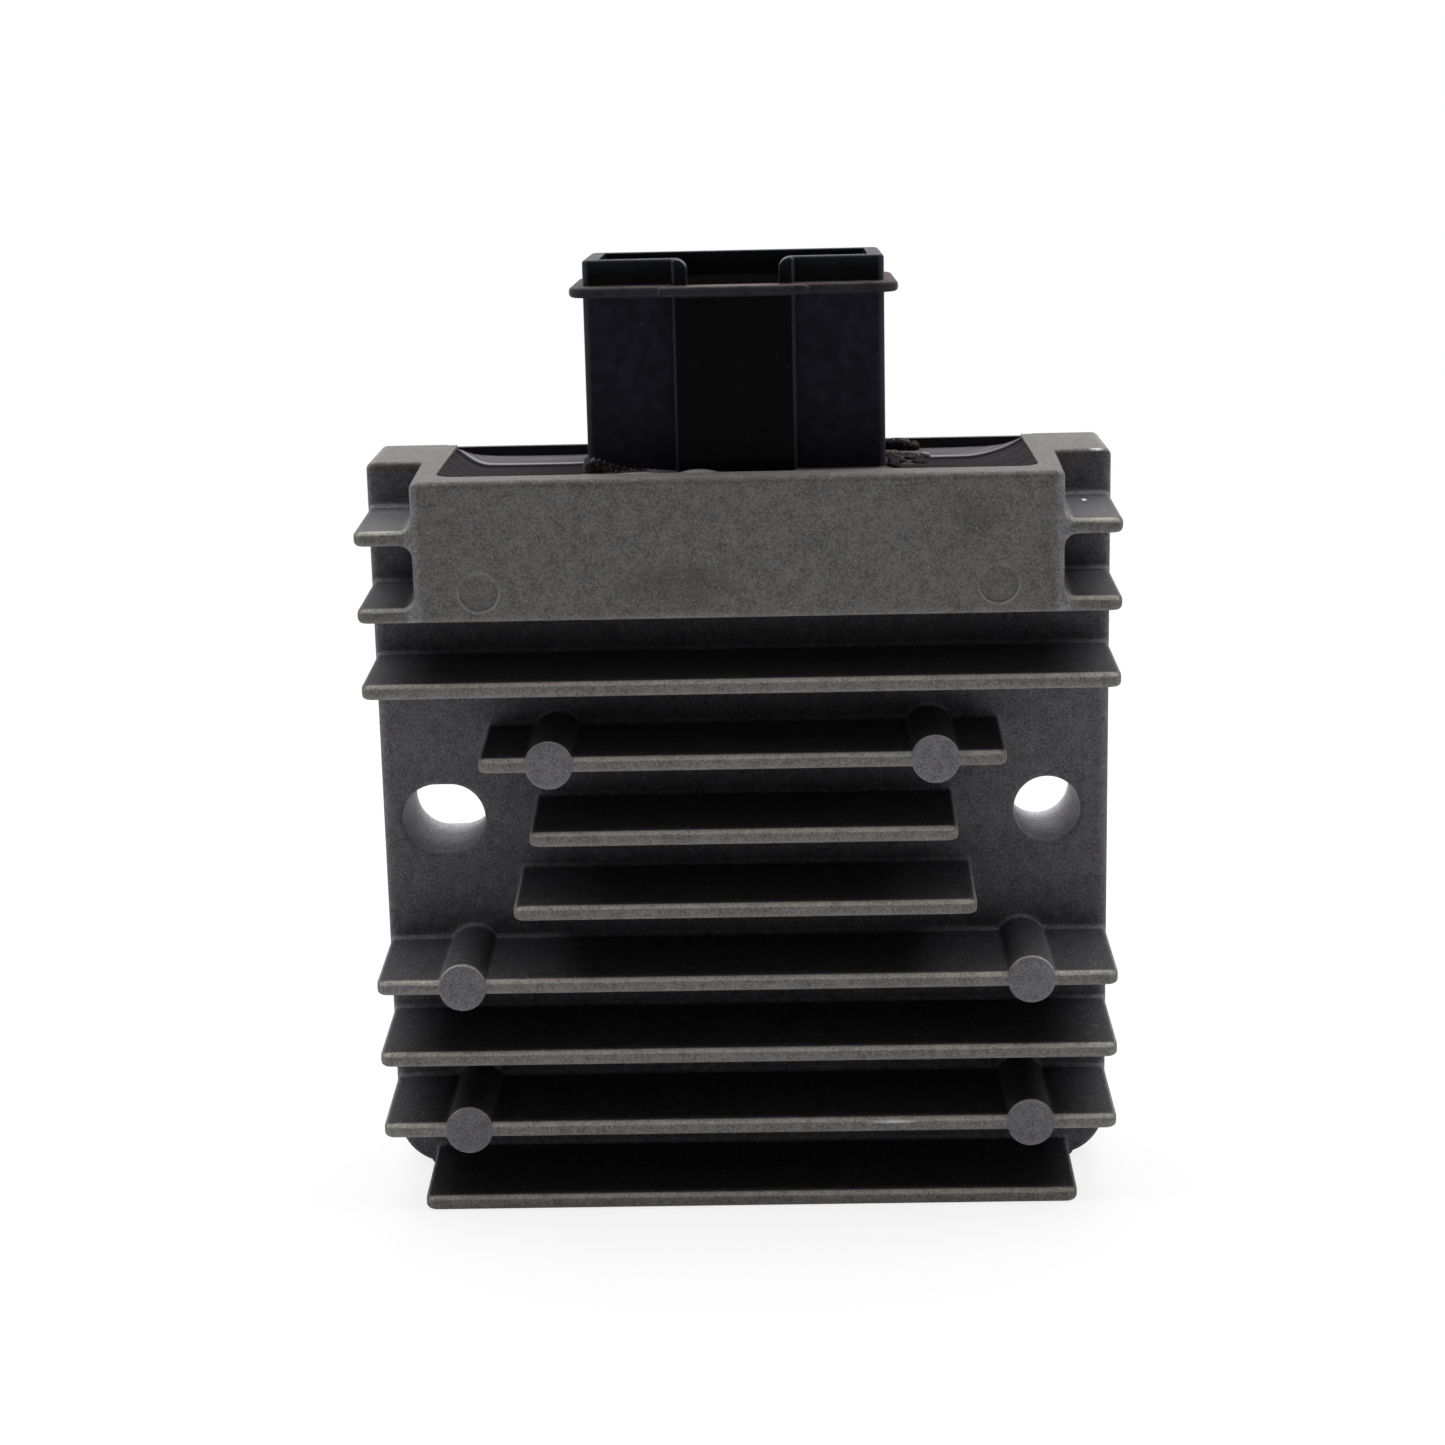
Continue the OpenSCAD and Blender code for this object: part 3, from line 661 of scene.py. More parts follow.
class Graph:
    """Short names for adding and linking the nodes of one tree."""

    def __init__(self, tree):
        self.tree = tree

    def add(self, kind, **values):
        node = self.tree.nodes.new(kind)
        for key, value in values.items():
            if hasattr(node, key):
                setattr(node, key, value)
            else:
                node.inputs[key.replace("_", " ").title()].default_value = value
        return node

    def link(self, start, end):
        self.tree.links.new(start, end)

    def math(self, operation, a, b=None, clamp=False):
        node = self.add("ShaderNodeMath", operation=operation, use_clamp=clamp)
        for socket, value in zip(node.inputs, (a, b)):
            if isinstance(value, (int, float)):
                socket.default_value = value
            elif value is not None:
                self.link(value, socket)
        return node.outputs[0]

    def ramp(self, value, low, high, out_low=0.0, out_high=1.0):
        node = self.add("ShaderNodeMapRange", interpolation_type="SMOOTHSTEP")
        for title, number in (("From Min", low), ("From Max", high),
                              ("To Min", out_low), ("To Max", out_high)):
            node.inputs[title].default_value = number
        self.link(value, node.inputs["Value"])
        return node.outputs["Result"]

    def over(self, length, low, high, out_low=0.0, out_high=1.0):
        """A ramp along a length, between two places in millimetres."""
        return self.ramp(length, low * MM, high * MM, out_low, out_high)

    def times(self, first, *others):
        """The product of two or more values."""
        for value in others:
            first = self.math("MULTIPLY", first, value)
        return first

    def axes(self, vector):
        """The X, Y and Z of a vector."""
        node = self.add("ShaderNodeSeparateXYZ")
        self.link(vector, node.inputs["Vector"])
        return tuple(node.outputs)

    def grey(self, value):
        """A colour with one value in all its channels."""
        node = self.add("ShaderNodeCombineColor")
        for socket in node.inputs[:3]:
            self.link(value, socket)
        return node.outputs[0]

    def mix(self, factor, a, b, blend="MIX"):
        node = self.add("ShaderNodeMix", data_type="RGBA", blend_type=blend)
        for socket, value in ((node.inputs[0], factor), (node.inputs[6], a), (node.inputs[7], b)):
            if isinstance(value, (int, float)):
                socket.default_value = value if socket.type == "VALUE" else (value,) * 4
            elif isinstance(value, tuple):
                socket.default_value = (*value, 1.0)
            else:
                self.link(value, socket)
        return node.outputs[2]


# %% Group: surface grain
def grain_group():
    group = new_group("surface_grain",
                      [("Vector", "NodeSocketVector", None), ("Scale", "NodeSocketFloat", 3000.0),
                       ("Coarse", "NodeSocketFloat", 0.5)],
                      [("Height", "NodeSocketFloat"), ("Mottle", "NodeSocketFloat")])
    g = Graph(group)
    source, sink = g.add("NodeGroupInput"), g.add("NodeGroupOutput")
    fine = g.add("ShaderNodeTexNoise", detail=3.0, roughness=0.65)
    broad = g.add("ShaderNodeTexNoise", detail=2.0, roughness=0.5)
    for noise in (fine, broad):
        g.link(source.outputs["Vector"], noise.inputs["Vector"])
    g.link(source.outputs["Scale"], fine.inputs["Scale"])
    g.link(g.times(source.outputs["Scale"], 0.22), broad.inputs["Scale"])
    share = g.times(broad.outputs["Fac"], source.outputs["Coarse"])
    g.link(g.math("ADD", fine.outputs["Fac"], share), sink.inputs["Height"])
    g.link(broad.outputs["Fac"], sink.inputs["Mottle"])
    return group


GRAIN = grain_group()
print("group:", GRAIN.name)


# %% Group: scattered specks
def speck_group():
    group = new_group("specks",
                      [("Vector", "NodeSocketVector", None), ("Scale", "NodeSocketFloat", 2500.0),
                       ("Share", "NodeSocketFloat", 0.06)],
                      [("Mask", "NodeSocketFloat")])
    g = Graph(group)
    source, sink = g.add("NodeGroupInput"), g.add("NodeGroupOutput")
    cells = g.add("ShaderNodeTexVoronoi")
    g.link(source.outputs["Vector"], cells.inputs["Vector"])
    g.link(source.outputs["Scale"], cells.inputs["Scale"])
    parts = g.add("ShaderNodeSeparateColor")
    g.link(cells.outputs["Color"], parts.inputs["Color"])
    chosen = g.math("LESS_THAN", parts.outputs[0], source.outputs["Share"])
    dot = g.ramp(cells.outputs["Distance"], 0.42, 0.2)
    g.link(g.times(chosen, dot), sink.inputs["Mask"])
    return group


SPECKS = speck_group()
print("group:", SPECKS.name)


# %% Group: a soft spot
def spot_group():
    group = new_group("soft_spot",
                      [("Vector", "NodeSocketVector", None), ("Centre", "NodeSocketVector", None),
                       ("Reach", "NodeSocketVector", None)],
                      [("Mask", "NodeSocketFloat")])
    g = Graph(group)
    source, sink = g.add("NodeGroupInput"), g.add("NodeGroupOutput")
    offset = g.add("ShaderNodeVectorMath", operation="SUBTRACT")
    g.link(source.outputs["Vector"], offset.inputs[0])
    g.link(source.outputs["Centre"], offset.inputs[1])
    share = g.add("ShaderNodeVectorMath", operation="DIVIDE")
    g.link(offset.outputs["Vector"], share.inputs[0])
    g.link(source.outputs["Reach"], share.inputs[1])
    length = g.add("ShaderNodeVectorMath", operation="LENGTH")
    g.link(share.outputs["Vector"], length.inputs[0])
    g.link(g.ramp(length.outputs["Value"], 1.0, 0.4), sink.inputs["Mask"])
    return group


SPOT = spot_group()
print("group:", SPOT.name)


# %% Starting a material
def start_material(name):
    material = bpy.data.materials.new(name)
    material.use_nodes = True
    graph = Graph(material.node_tree)
    shader = material.node_tree.nodes["Principled BSDF"]
    place = graph.add("ShaderNodeTexCoord").outputs["Object"]
    return material, graph, shader, place


def place_group(graph, group, place, **values):
    node = graph.add("ShaderNodeGroup")
    node.node_tree = group
    graph.link(place, node.inputs["Vector"])
    for title, value in values.items():
        node.inputs[title].default_value = value
    return node


def spots(graph, place, marks):
    """The sum of soft spots, each given as a centre and a reach in millimetres."""
    total = None
    for centre, reach in marks:
        spot = place_group(graph, SPOT, place, Centre=Vector(centre) * MM,
                           Reach=Vector(reach) * MM).outputs[0]
        total = spot if total is None else graph.math("ADD", total, spot, True)
    return total


def rounded_edges(graph, radius, low=0.985, high=0.85):
    """A normal that rounds sharp edges, and a mask that is one along them."""
    rounded = graph.add("ShaderNodeBevel", samples=4)
    rounded.inputs["Radius"].default_value = radius * MM
    geometry = graph.add("ShaderNodeNewGeometry")
    facing = graph.add("ShaderNodeVectorMath", operation="DOT_PRODUCT")
    graph.link(rounded.outputs["Normal"], facing.inputs[0])
    graph.link(geometry.outputs["Normal"], facing.inputs[1])
    return rounded.outputs["Normal"], graph.ramp(facing.outputs["Value"], low, high)


def bump(graph, shader, height, strength, distance):
    node = graph.add("ShaderNodeBump")
    node.inputs["Strength"].default_value = strength
    node.inputs["Distance"].default_value = distance * MM
    graph.link(height, node.inputs["Height"])
    graph.link(node.outputs["Normal"], shader.inputs["Normal"])
    return node


# %% [markdown]
# ## Cast aluminium
# The casting is dark grey, warm on its outer faces. Painted shade turns it darker and bluer down
# between the fins and a shade darker on its top faces. Fine bright and dark grains cover it,
# tinted a little either way. It is paler along its edges and on the fin tips, partly from wear and
# partly as painted light, and painted highlights lie in the bolt holes, along the box and plate
# rims, on the fin ends and roots and on the ejector rings. Painted shade darkens the fins' upper
# faces and flanks. A
# few single marks are listed one by one: a chip on the right ear, a scratch on a fin and two dull
# patches on the box.

# %% Cast aluminium material
BARE_MARKS = [((36.9, -12.0, 38.15), (1.1, 0.5, 0.4)), ((35.3, -15.0, 33.3), (0.32, 0.8, 0.9)),
              ((23.1, -12.0, 7.4), (0.75, 0.8, 0.3)),
              ((15.0, -25.2, fin_z(9) + 0.35), (3.0, 0.6, 0.2))]
DULL_MARKS = [((23.6, -25.2, 33.2), (3.0, 1.0, 2.4)), ((-6.0, -25.2, 27.0), (7.0, 1.0, 3.0))]
BORES = [((side * HOLE_X, -6, 0), (6.4, 30, 6.4)) for side in (-1, 1)]
ROUND_POSTS = [((side * x, -18, fin_z(k)), (5.5, 40, 5.5))
               for x, k in POSTS for side in (-1, 1)]


def box_rim_highlight(g, x, z, front):
    """One along the side and lower edges of the box's front, where a highlight is painted."""
    half = BOX_W / 2 - FIN_H * DRAFT
    aside = g.math("ABSOLUTE", x)
    inside = g.over(aside, half + 0.9, half + 0.4)
    sides = g.times(g.over(aside, half - 1.1, half - 0.3), inside)
    lower = g.times(g.over(z, BOX_BOTTOM + 0.8, BOX_BOTTOM + 0.3), inside)
    high = g.over(z, BOX_BOTTOM - 0.6, BOX_BOTTOM - 0.3)
    return g.times(g.math("MAXIMUM", sides, lower), high, front)


def ring_mask(g, x, y, z):
    """One along the rings that the ejector pins left on the box, most at their lower arc, where a
    highlight is painted.
    """
    off_x = g.math("SUBTRACT", g.math("ABSOLUTE", x), MARK_X * MM)
    off_z = g.math("SUBTRACT", z, MARK_Z * MM)
    square = g.math("ADD", g.times(off_x, off_x), g.times(off_z, off_z))
    away = g.math("ABSOLUTE", g.math("SUBTRACT", g.math("SQRT", square), (MARK_R + 0.06) * MM))
    return g.times(g.over(away, 0.19, 0.06), g.over(y, TIP_Y + 1, TIP_Y + 0.5),
                   g.over(off_z, 1.4, -0.8, 0.35, 1.0))


def cast_aluminium():
    material, g, shader, place = start_material("cast_aluminium")
    grain = place_group(g, GRAIN, place, Scale=3900.0, Coarse=0.35).outputs["Height"]
    tint = place_group(g, GRAIN, place, Scale=2100.0, Coarse=0.2).outputs["Height"]
    bright = place_group(g, SPECKS, place, Scale=4200.0, Share=0.08).outputs["Mask"]
    dark = place_group(g, SPECKS, place, Scale=3300.0, Share=0.09).outputs["Mask"]
    x, y, z = g.axes(place)
    facing_x, facing_y, facing_z = g.axes(g.add("ShaderNodeNewGeometry").outputs["Normal"])
    # painted shade: the colour turns darker and bluer down between the fins, and the top faces are
    # painted a shade darker under the overhead light
    base = g.mix(g.over(y, -15, -24), (0.114, 0.112, 0.123), (0.145, 0.141, 0.138))
    base = g.mix(g.over(z, 36.8, 37.3), base, (0.106, 0.103, 0.098))

    # where a place is: below the box, under the top faces, on the tips, between the fins
    below = g.over(z, BOX_BOTTOM, BOX_BOTTOM - 0.5)
    low = g.over(z, 36.5, 36.0)
    front = g.over(y, TIP_Y + 0.6, TIP_Y + 0.3)
    back = g.over(y, TIP_Y + 0.3, TIP_Y + 0.9)
    off_plate = g.over(y, FRONT_Y - 0.4, FRONT_Y - 1.4)
    ends = g.math("SUBTRACT", g.ramp(g.math("ABSOLUTE", facing_x), 0.2, 0.6),
                  spots(g, place, ROUND_POSTS), True)

    # paler tips, posts and rims: wear, with painted light that grows towards the lowest fins
    # against the floor's shadow, and painted highlights where the tips turn up and along the box
    # and plate rims
    rubbed_and_lit = g.times(below, front, g.over(z, -16, -38, 0.2, 0.42))
    base = g.mix(rubbed_and_lit, base, (0.30, 0.29, 0.275))
    # painted highlight: a warm pale colour where the rounded tips turn up towards the light
    tilted_highlight = g.times(g.ramp(facing_z, 0.1, 0.5), front, low)
    base = g.mix(g.times(tilted_highlight, 0.75), base, (0.42, 0.40, 0.355))
    proud = g.over(y, TIP_Y - 0.04, TIP_Y - 0.1)
    base = g.mix(g.times(proud, below), base, (0.166, 0.163, 0.180))
    # painted highlight along the box's rounded side and lower edges, where the side light catches
    # them
    base = g.mix(g.times(box_rim_highlight(g, x, z, front), 0.55), base, (0.26, 0.26, 0.275))
    # painted highlight: a pale bluish band along the plate's side edges
    plate_rim_highlight = g.times(g.over(g.math("ABSOLUTE", x), PLATE_W / 2 - 1.2, PLATE_W / 2 - 0.2),
                        g.ramp(off_plate, 0.3, 0.1))
    base = g.mix(g.times(plate_rim_highlight, 0.35), base, (0.27, 0.27, 0.30))

    # painted shade on the fins' upper faces and flanks, with painted highlights on the fin ends,
    # the roots and the bores
    slot_shade = g.times(g.ramp(facing_z, 0.3, 0.8), low, back)
    flank = g.times(below, off_plate, back)
    away_from_ends = g.math("SUBTRACT", 1.0, g.times(ends, 0.9))
    # painted shade: near black deep between the fins, left out at the fin ends
    base = g.mix(g.times(slot_shade, away_from_ends, 0.62), base, (0.022, 0.022, 0.026))
    base = g.mix(g.times(flank, away_from_ends, 0.45), base, (0.022, 0.022, 0.026))
    # painted highlight where the side light catches the fin ends
    base = g.mix(g.times(flank, ends, 0.4), base, (0.30, 0.29, 0.28))
    # painted highlight on the root fillets that face up and forward
    root = g.times(g.ramp(facing_z, 0.25, 0.5), g.ramp(facing_y, -0.3, -0.6),
                   g.ramp(off_plate, 0.6, 0.2))
    base = g.mix(g.times(root, low, 0.5), base, (0.33, 0.33, 0.35))
    # painted highlight: the bores of the bolt holes are painted pale, standing in for the light on
    # their lower surface
    bore_highlight = g.times(spots(g, place, BORES), g.ramp(g.math("ABSOLUTE", facing_y), 0.6, 0.35))
    base = g.mix(bore_highlight, base, (0.50, 0.495, 0.53))

    # the grain, in tone and a little in hue
    tone = g.ramp(grain, 0.38, 0.92, 0.58, 1.42)
    hue = g.ramp(tint, 0.42, 0.8, -0.05, 0.07)
    mottled = g.add("ShaderNodeCombineColor")
    for socket, share in zip(mottled.inputs[:3], (1.0, 0.0, -1.0)):
        g.link(g.math("ADD", tone, g.times(hue, share)), socket)
    base = g.mix(1.0, base, mottled.outputs[0], "MULTIPLY")

    # edges that are partly worn and partly painted highlight, the ejector rings with a painted
    # highlight, and single marks
    rounded, edge = rounded_edges(g, 0.7)
    worn_and_lit_edge = g.times(edge, g.ramp(grain, 0.4, 0.9, 0.25, 0.7), g.ramp(bore_highlight, 0.6, 0.1))
    base = g.mix(worn_and_lit_edge, base, (0.29, 0.285, 0.275))
    # the ejector rings: a real mark, painted paler towards the lower arc as a highlight
    ring = g.times(ring_mask(g, x, y, z), g.ramp(grain, 0.45, 0.75, 0.35, 0.9))
    base = g.mix(ring, base, (0.30, 0.30, 0.31))
    base = g.mix(g.times(spots(g, place, DULL_MARKS), 0.35), base, (0.06, 0.058, 0.055))
    base = g.mix(g.times(dark, 0.5), base, (0.05, 0.048, 0.045))
    base = g.mix(g.times(bright, 0.4), base, (0.48, 0.46, 0.43))
    bare = g.times(spots(g, place, BARE_MARKS), g.ramp(grain, 0.4, 0.7))
    base = g.mix(bare, base, (0.55, 0.56, 0.58))
    g.link(base, shader.inputs["Base Color"])
    g.link(g.ramp(grain, 0.4, 0.9, 0.52, 0.72), shader.inputs["Roughness"])
    g.link(g.times(g.math("MAXIMUM", bare, bright), 0.35), shader.inputs["Metallic"])
    shader.inputs["Specular IOR Level"].default_value = 0.06
    relief = bump(g, shader, grain, 0.6, 0.09)
    g.link(rounded, relief.inputs["Normal"])
    return material


CAST = cast_aluminium()
print("material:", CAST.name)


# %% [markdown]
# ## Black plastic and resin
# The shroud is black nylon with a faint blue cast. Its raised middle was polished in the
# mould and looks darker than the finely etched panels beside it, and dust lies on what
# faces up. Painted highlights run along its edges, and a painted bluish sheen lies on its
# turned faces and towards its top. The resin set with a skin. Painted reflections make it
# mauve where it lies flat, with a bright line and a dark one that run along the back and bend
# into the corners, and painted light brightens the strip before the connector and its swells.
# Its crusts are dull and full of pale specks.

# %% Shroud plastic material
def shroud_plastic():
    material, g, shader, place = start_material("shroud_plastic")
    grain = place_group(g, GRAIN, place, Scale=3200.0, Coarse=0.4)
    dust = place_group(g, GRAIN, place, Scale=2600.0, Coarse=1.0).outputs["Height"]
    fluff = place_group(g, SPECKS, place, Scale=2600.0, Share=0.02).outputs["Mask"]
    x, y, z = g.axes(place)
    facing_x, facing_y, facing_z = g.axes(g.add("ShaderNodeNewGeometry").outputs["Normal"])
    beside = g.over(g.math("ABSOLUTE", x), KEY_W / 2 - 0.2, KEY_W / 2 + 0.2)
    behind = g.over(y, PLUG_FRONT + 0.5, PLUG_FRONT + 1)
    etched = g.times(g.math("MAXIMUM", beside, behind), g.over(z, 55.2, 55.0))
    tint = g.mix(etched, (0.0018, 0.0018, 0.0024), (0.0145, 0.0135, 0.0205))
    cloud = g.grey(g.ramp(grain.outputs["Mottle"], 0.3, 0.7, 0.75, 1.25))
    tint = g.mix(1.0, tint, cloud, "MULTIPLY")
    rounded, edge = rounded_edges(g, 0.22)
    # painted highlight along the rounded edges
    tint = g.mix(g.times(edge, 0.6), tint, (0.06, 0.064, 0.078))
    # painted sheen: a bluish pale where the faces turn sideways towards the front
    corner_sheen = g.times(g.ramp(g.math("ABSOLUTE", facing_x), 0.2, 0.6), g.ramp(facing_y, -0.15, -0.4))
    tint = g.mix(g.times(corner_sheen, 0.7), tint, (0.045, 0.046, 0.058))

    # dust on what faces up, less of it at the very top and in the socket
    settled = g.times(g.ramp(facing_z, 0.55, 0.95), g.ramp(dust, 0.7, 1.2, 0.15, 0.9),
                      g.over(z, 57.0, 58.0, 1.0, 0.45), g.over(z, 42.0, 52.0, 0.25, 1.0))
    rim_top = FLANGE_Z + FLANGE_T
    on_rim = g.times(g.over(z, FLANGE_Z - 0.1, FLANGE_Z + 0.2), g.over(z, rim_top + 0.3, rim_top),
                     g.ramp(dust, 0.6, 1.1, 0.25, 0.8))
    tint = g.mix(on_rim, tint, (0.04, 0.038, 0.042))
    tint = g.mix(settled, tint, (0.085, 0.072, 0.06))
    # painted sheen: bluer and lighter towards the top of the shroud
    tint = g.mix(g.over(z, 57.0, 58.6, 0.0, 0.5), tint, (0.018, 0.021, 0.029))
    tint = g.mix(g.times(fluff, 0.12), tint, (0.12, 0.11, 0.12))
    g.link(tint, shader.inputs["Base Color"])
    rough = g.times(g.math("ADD", g.times(etched, 0.5), 1.0), 0.3)
    g.link(g.mix(settled, rough, 0.8), shader.inputs["Roughness"])
    g.link(g.math("ADD", g.times(edge, 0.35), 0.03), shader.inputs["Specular IOR Level"])
    relief = bump(g, shader, grain.outputs["Height"], 0.15, 0.02)
    g.link(rounded, relief.inputs["Normal"])
    return material


# %% Poured resin material
CRUST_MARKS = [((17.3, -2.0, 37.6), (3.2, 2.2, 1.6)), ((17.2, -10.0, 37.4), (3.6, 7.5, 0.9)),
               ((-12.0, -17.9, 37.9), (5.0, 0.9, 1.6))]


def wall_streaks(g, near, along):
    """Fine streaks that run along the walls, for the resin that set as it climbed; they streak the
    painted reflections.
    """
    path = g.add("ShaderNodeCombineXYZ")
    g.link(g.times(near, 1500.0), path.inputs["X"])
    g.link(g.times(along, 90.0), path.inputs["Y"])
    streaks = g.add("ShaderNodeTexNoise", detail=2.0, roughness=0.5)
    streaks.inputs["Scale"].default_value = 1.0
    g.link(path.outputs[0], streaks.inputs["Vector"])
    return streaks.outputs["Fac"]


def poured_resin():
    material, g, shader, place = start_material("poured_resin")
    ripple = place_group(g, GRAIN, place, Scale=160.0, Coarse=0.8).outputs["Mottle"]
    grit = place_group(g, GRAIN, place, Scale=3000.0, Coarse=0.8).outputs["Height"]
    pale = place_group(g, SPECKS, place, Scale=2600.0, Share=0.22).outputs["Mask"]
    x, y, z = g.axes(place)

    # the distance from the back wall, which bends round into the two corners
    from_left = g.math("ADD", x, POCKET_W / 2 * MM)
    from_right = g.math("SUBTRACT", POCKET_W / 2 * MM, x)
    from_back = g.math("SUBTRACT", -COVER_T * MM, y)
    bend = g.math("MAXIMUM", g.over(from_left, 4.2, -0.3, 0.0, 6.8 * MM),
                  g.over(from_right, 6.6, -0.6, 0.0, 6.8 * MM))
    wave = g.times(g.math("SUBTRACT", ripple, 0.5), 0.9 * MM)
    near = g.math("ADD", g.math("ADD", from_back, bend), wave)

    # painted reflections: a mauve band, a bright line and a dark one, then the shaded front
    base = g.mix(g.over(near, 6.9, 7.8), (0.11, 0.098, 0.109), (0.014, 0.014, 0.021))
    base = g.mix(g.over(near, 8.6, 10.4), base, (0.034, 0.03, 0.033))
    glint = g.times(g.over(near, 5.4, 6.4), g.over(near, 7.2, 6.4))
    base = g.mix(g.times(glint, 0.75), base, (0.25, 0.26, 0.30))
    streak = g.grey(g.ramp(wall_streaks(g, near, x), 0.3, 0.7, 0.7, 1.2))
    base = g.mix(1.0, base, streak, "MULTIPLY")

    # painted light on the strip before the connector, which lies in the connector's shadow, and a
    # painted highlight on its two swells
    ahead = g.times(g.over(y, PLUG_FRONT + 0.6, PLUG_FRONT - 0.2),
                    g.over(g.math("ABSOLUTE", x), 17, 15))
    base = g.mix(g.times(ahead, 0.8), base, (0.15, 0.135, 0.136))
    raised = g.times(g.over(z, RESIN_Z + 0.28, RESIN_Z + 0.42), ahead)
    base = g.mix(g.times(raised, 0.9), base, (0.27, 0.262, 0.28))

    # the crusts
    crust = g.times(spots(g, place, CRUST_MARKS), g.math("ADD", grit, 0.2))
    crust = g.ramp(crust, 0.35, 0.8)
    stony = g.mix(g.ramp(grit, 0.6, 1.1), (0.008, 0.007, 0.007), (0.07, 0.056, 0.052))
    stony = g.mix(g.times(pale, 0.6), stony, (0.32, 0.31, 0.33))
    g.link(g.mix(crust, base, stony), shader.inputs["Base Color"])
    smooth_part = g.ramp(ripple, 0.3, 0.7, 0.16, 0.3)
    g.link(g.mix(crust, smooth_part, 0.75), shader.inputs["Roughness"])
    g.link(g.times(glint, 0.04), shader.inputs["Specular IOR Level"])
    height = g.math("ADD", g.times(ripple, 0.6), g.times(grit, crust, 0.5))
    bump(g, shader, height, 0.35, 0.25)
    return material


PLASTIC, RESIN = shroud_plastic(), poured_resin()
print("materials:", PLASTIC.name, RESIN.name)


# %% [markdown]
# ## The plainer finishes
# The cover, the blades and what lies under the resin share one recipe: a colour with a
# grain that changes it a little, a roughness and, for metal, a metallic value.

# %% Plain finishes
def plain_finish(name, colour, roughness, metallic=0.0, scale=900.0, relief=0.05, shine=0.5):
    material, g, shader, place = start_material(name)
    grain = place_group(g, GRAIN, place, Scale=scale, Coarse=0.7)
    darker = tuple(0.78 * c for c in colour)
    base = g.mix(g.ramp(grain.outputs["Mottle"], 0.3, 0.7), darker, colour)
    g.link(base, shader.inputs["Base Color"])
    g.link(g.ramp(grain.outputs["Height"], 0.4, 1.2, roughness * 0.8, roughness * 1.15),
           shader.inputs["Roughness"])
    shader.inputs["Metallic"].default_value = metallic
    shader.inputs["Specular IOR Level"].default_value = shine
    bump(g, shader, grain.outputs["Height"], 0.3, relief)
    return material


SHEET = plain_finish("coated_sheet", (0.012, 0.012, 0.014), 0.42, 0.0, 1800.0, 0.05, 0.08)
TINNED = plain_finish("tinned_blades", (0.62, 0.60, 0.54), 0.28, 1.0, 700.0, 0.02)
SUBSTRATE = plain_finish("metal_substrate", (0.55, 0.56, 0.58), 0.4, 0.9)
BOARD = plain_finish("glass_fibre_board", (0.02, 0.13, 0.055), 0.5)
PACKAGE = plain_finish("moulded_package", (0.02, 0.02, 0.022), 0.55)
CAN = plain_finish("drawn_can", (0.6, 0.6, 0.62), 0.3, 1.0)
print("plain finishes: 6")

# %% [markdown]
# ## Dressing the frame
# Each new piece rides on the frame's one body, takes its finish and replaces its plain
# solid. The blades and the parts under the resin keep their own solids.

# %% Ride, finish and replace
DRESSED = [(casting, "heat_sink", "cast_aluminium", CAST),
           (cover, "back_cover", "cover_sheet", SHEET),
           (housing, "connector_housing", "connector_plastic", PLASTIC),
           (resin, "potting_compound", "potting_resin", RESIN)]
for piece, node, slot, material in DRESSED:
    piece.data.materials.clear()
    piece.data.materials.append(material)
    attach(piece, "root")
    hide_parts(node)

NODE_FINISH = {"terminal": TINNED, "link_pins": TINNED, "power_board": SUBSTRATE,
               "control_board": BOARD, "filter_capacitor": CAN}
replaced = {node for _, node, _, _ in DRESSED}
for name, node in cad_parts.items():
    if name in replaced:
        continue
    finish = next((m for start, m in NODE_FINISH.items() if name.startswith(start)), PACKAGE)
    node.data.materials.clear()
    node.data.materials.append(finish)
print("dressed:", len(DRESSED), "kept:", len(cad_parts) - len(DRESSED))

# %% [markdown]
# ## Camera, floor and light
# The camera stands a little to the right and above, nearly 29 cm away. The floor is white
# and shows only a soft shadow. A wide soft panel hangs above and a little behind. It lights
# what faces up most and reaches in between the fins from their ends only. The front gets the
# light that the floor throws back, so the middle of each gap between the fins stays dark, and
# painted shade on the fins' faces darkens it further.

# %% Camera
PHOTO_SIDE = 1445
FOCAL_PX = 2668.3
SENSOR = 36.0
camera_data = bpy.data.cameras.new("camera")
camera = bpy.data.objects.new("camera", camera_data)
bpy.context.scene.collection.objects.link(camera)
camera_data.sensor_width = SENSOR
camera_data.lens = FOCAL_PX * SENSOR / PHOTO_SIDE
camera_data.clip_start, camera_data.clip_end = 0.01, 20
YAW, PITCH, ROLL = 0.0222, -0.2229, 0.0224
camera.matrix_world = (Matrix.Translation(Vector((3.94, -285.96, 72.07)) * MM)
                       @ Matrix.Rotation(YAW, 4, "Z")
                       @ Matrix.Rotation(math.pi / 2 + PITCH, 4, "X")
                       @ Matrix.Rotation(-ROLL, 4, "Z"))
bpy.context.scene.camera = camera
print("lens:", round(camera_data.lens, 1))


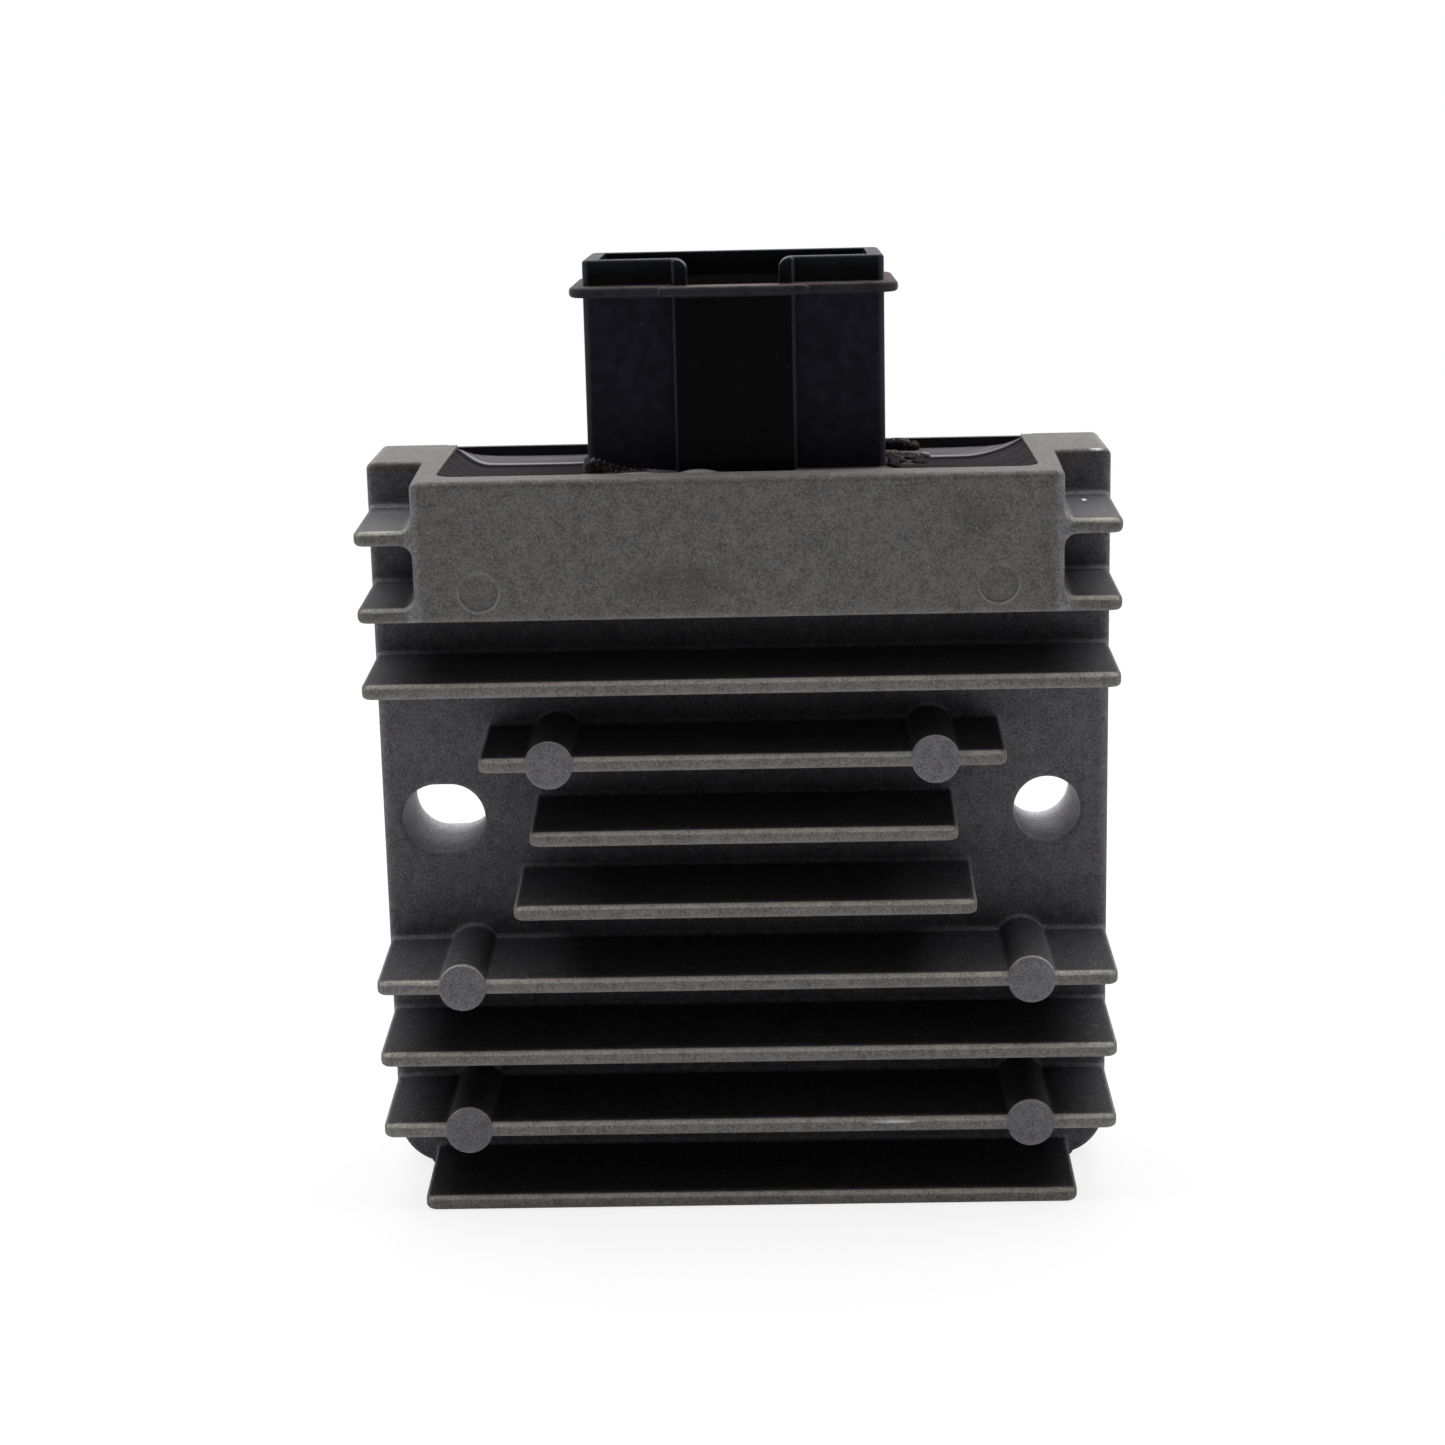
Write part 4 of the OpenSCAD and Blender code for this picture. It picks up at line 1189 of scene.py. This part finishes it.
# %% Floor and world
def white_to_camera(tree, shader, surface, strength):
    """Mixes a plain white in, for camera, mirror and glass rays only."""
    g = Graph(tree)
    path = g.add("ShaderNodeLightPath")
    seen = g.math("MAXIMUM", path.outputs["Is Camera Ray"], path.outputs["Is Glossy Ray"])
    seen = g.math("MAXIMUM", seen, path.outputs["Is Transmission Ray"])
    white = g.add("ShaderNodeEmission" if surface.node.type == "OUTPUT_MATERIAL"
                  else "ShaderNodeBackground")
    white.inputs["Color"].default_value = (1, 1, 1, 1)
    mixed = g.add("ShaderNodeMixShader")
    g.link(g.times(seen, strength), mixed.inputs[0])
    g.link(shader, mixed.inputs[1])
    g.link(white.outputs[0], mixed.inputs[2])
    g.link(mixed.outputs[0], surface)
    return seen


bpy.ops.mesh.primitive_plane_add(size=6, location=(0, 0, cad_low.z - 0.00002))
floor = bpy.context.object
floor.name = "floor"
floor_material, g, floor_shader, floor_place = start_material("white_floor")
floor_shader.inputs["Roughness"].default_value = 0.9
floor_shader.inputs["Specular IOR Level"].default_value = 0.1
distance = g.add("ShaderNodeVectorMath", operation="LENGTH")
g.link(floor_place, distance.inputs[0])
share = g.ramp(distance.outputs["Value"], 0.12, 0.6, 0.82, 1.0)
output = floor_material.node_tree.nodes["Material Output"].inputs["Surface"]
seen = white_to_camera(floor_material.node_tree, floor_shader.outputs[0], output, share)
g.link(g.mix(seen, 0.85, 0.9), floor_shader.inputs["Base Color"])
floor.data.materials.append(floor_material)

world = bpy.data.worlds.new("studio")
bpy.context.scene.world = world
world.use_nodes = True
backdrop = world.node_tree.nodes["Background"]
backdrop.inputs["Color"].default_value = (1, 1, 1, 1)
backdrop.inputs["Strength"].default_value = 0.02
white_to_camera(world.node_tree, backdrop.outputs[0],
                world.node_tree.nodes["World Output"].inputs["Surface"], 1.0)


# %% Lights
def soft_light(name, place, aim, size, power):
    data = bpy.data.lights.new(name, "AREA")
    data.shape = "RECTANGLE"
    data.size, data.size_y = size
    data.energy = power
    light = bpy.data.objects.new(name, data)
    bpy.context.scene.collection.objects.link(light)
    light.location = place
    light.rotation_euler = (Vector(aim) - Vector(place)).to_track_quat("-Z", "Y").to_euler()
    return light


soft_light("overhead_panel", (0.0, 0.10, 0.50), (0, 0.06, 0.0), (1.3, 0.45), 8.5)
soft_light("back_light", (0.0, 0.60, 0.46), (0, 0, 0.01), (0.9, 0.25), 2.0)
bpy.context.scene.view_settings.view_transform = "Standard"
print("lights: 2")
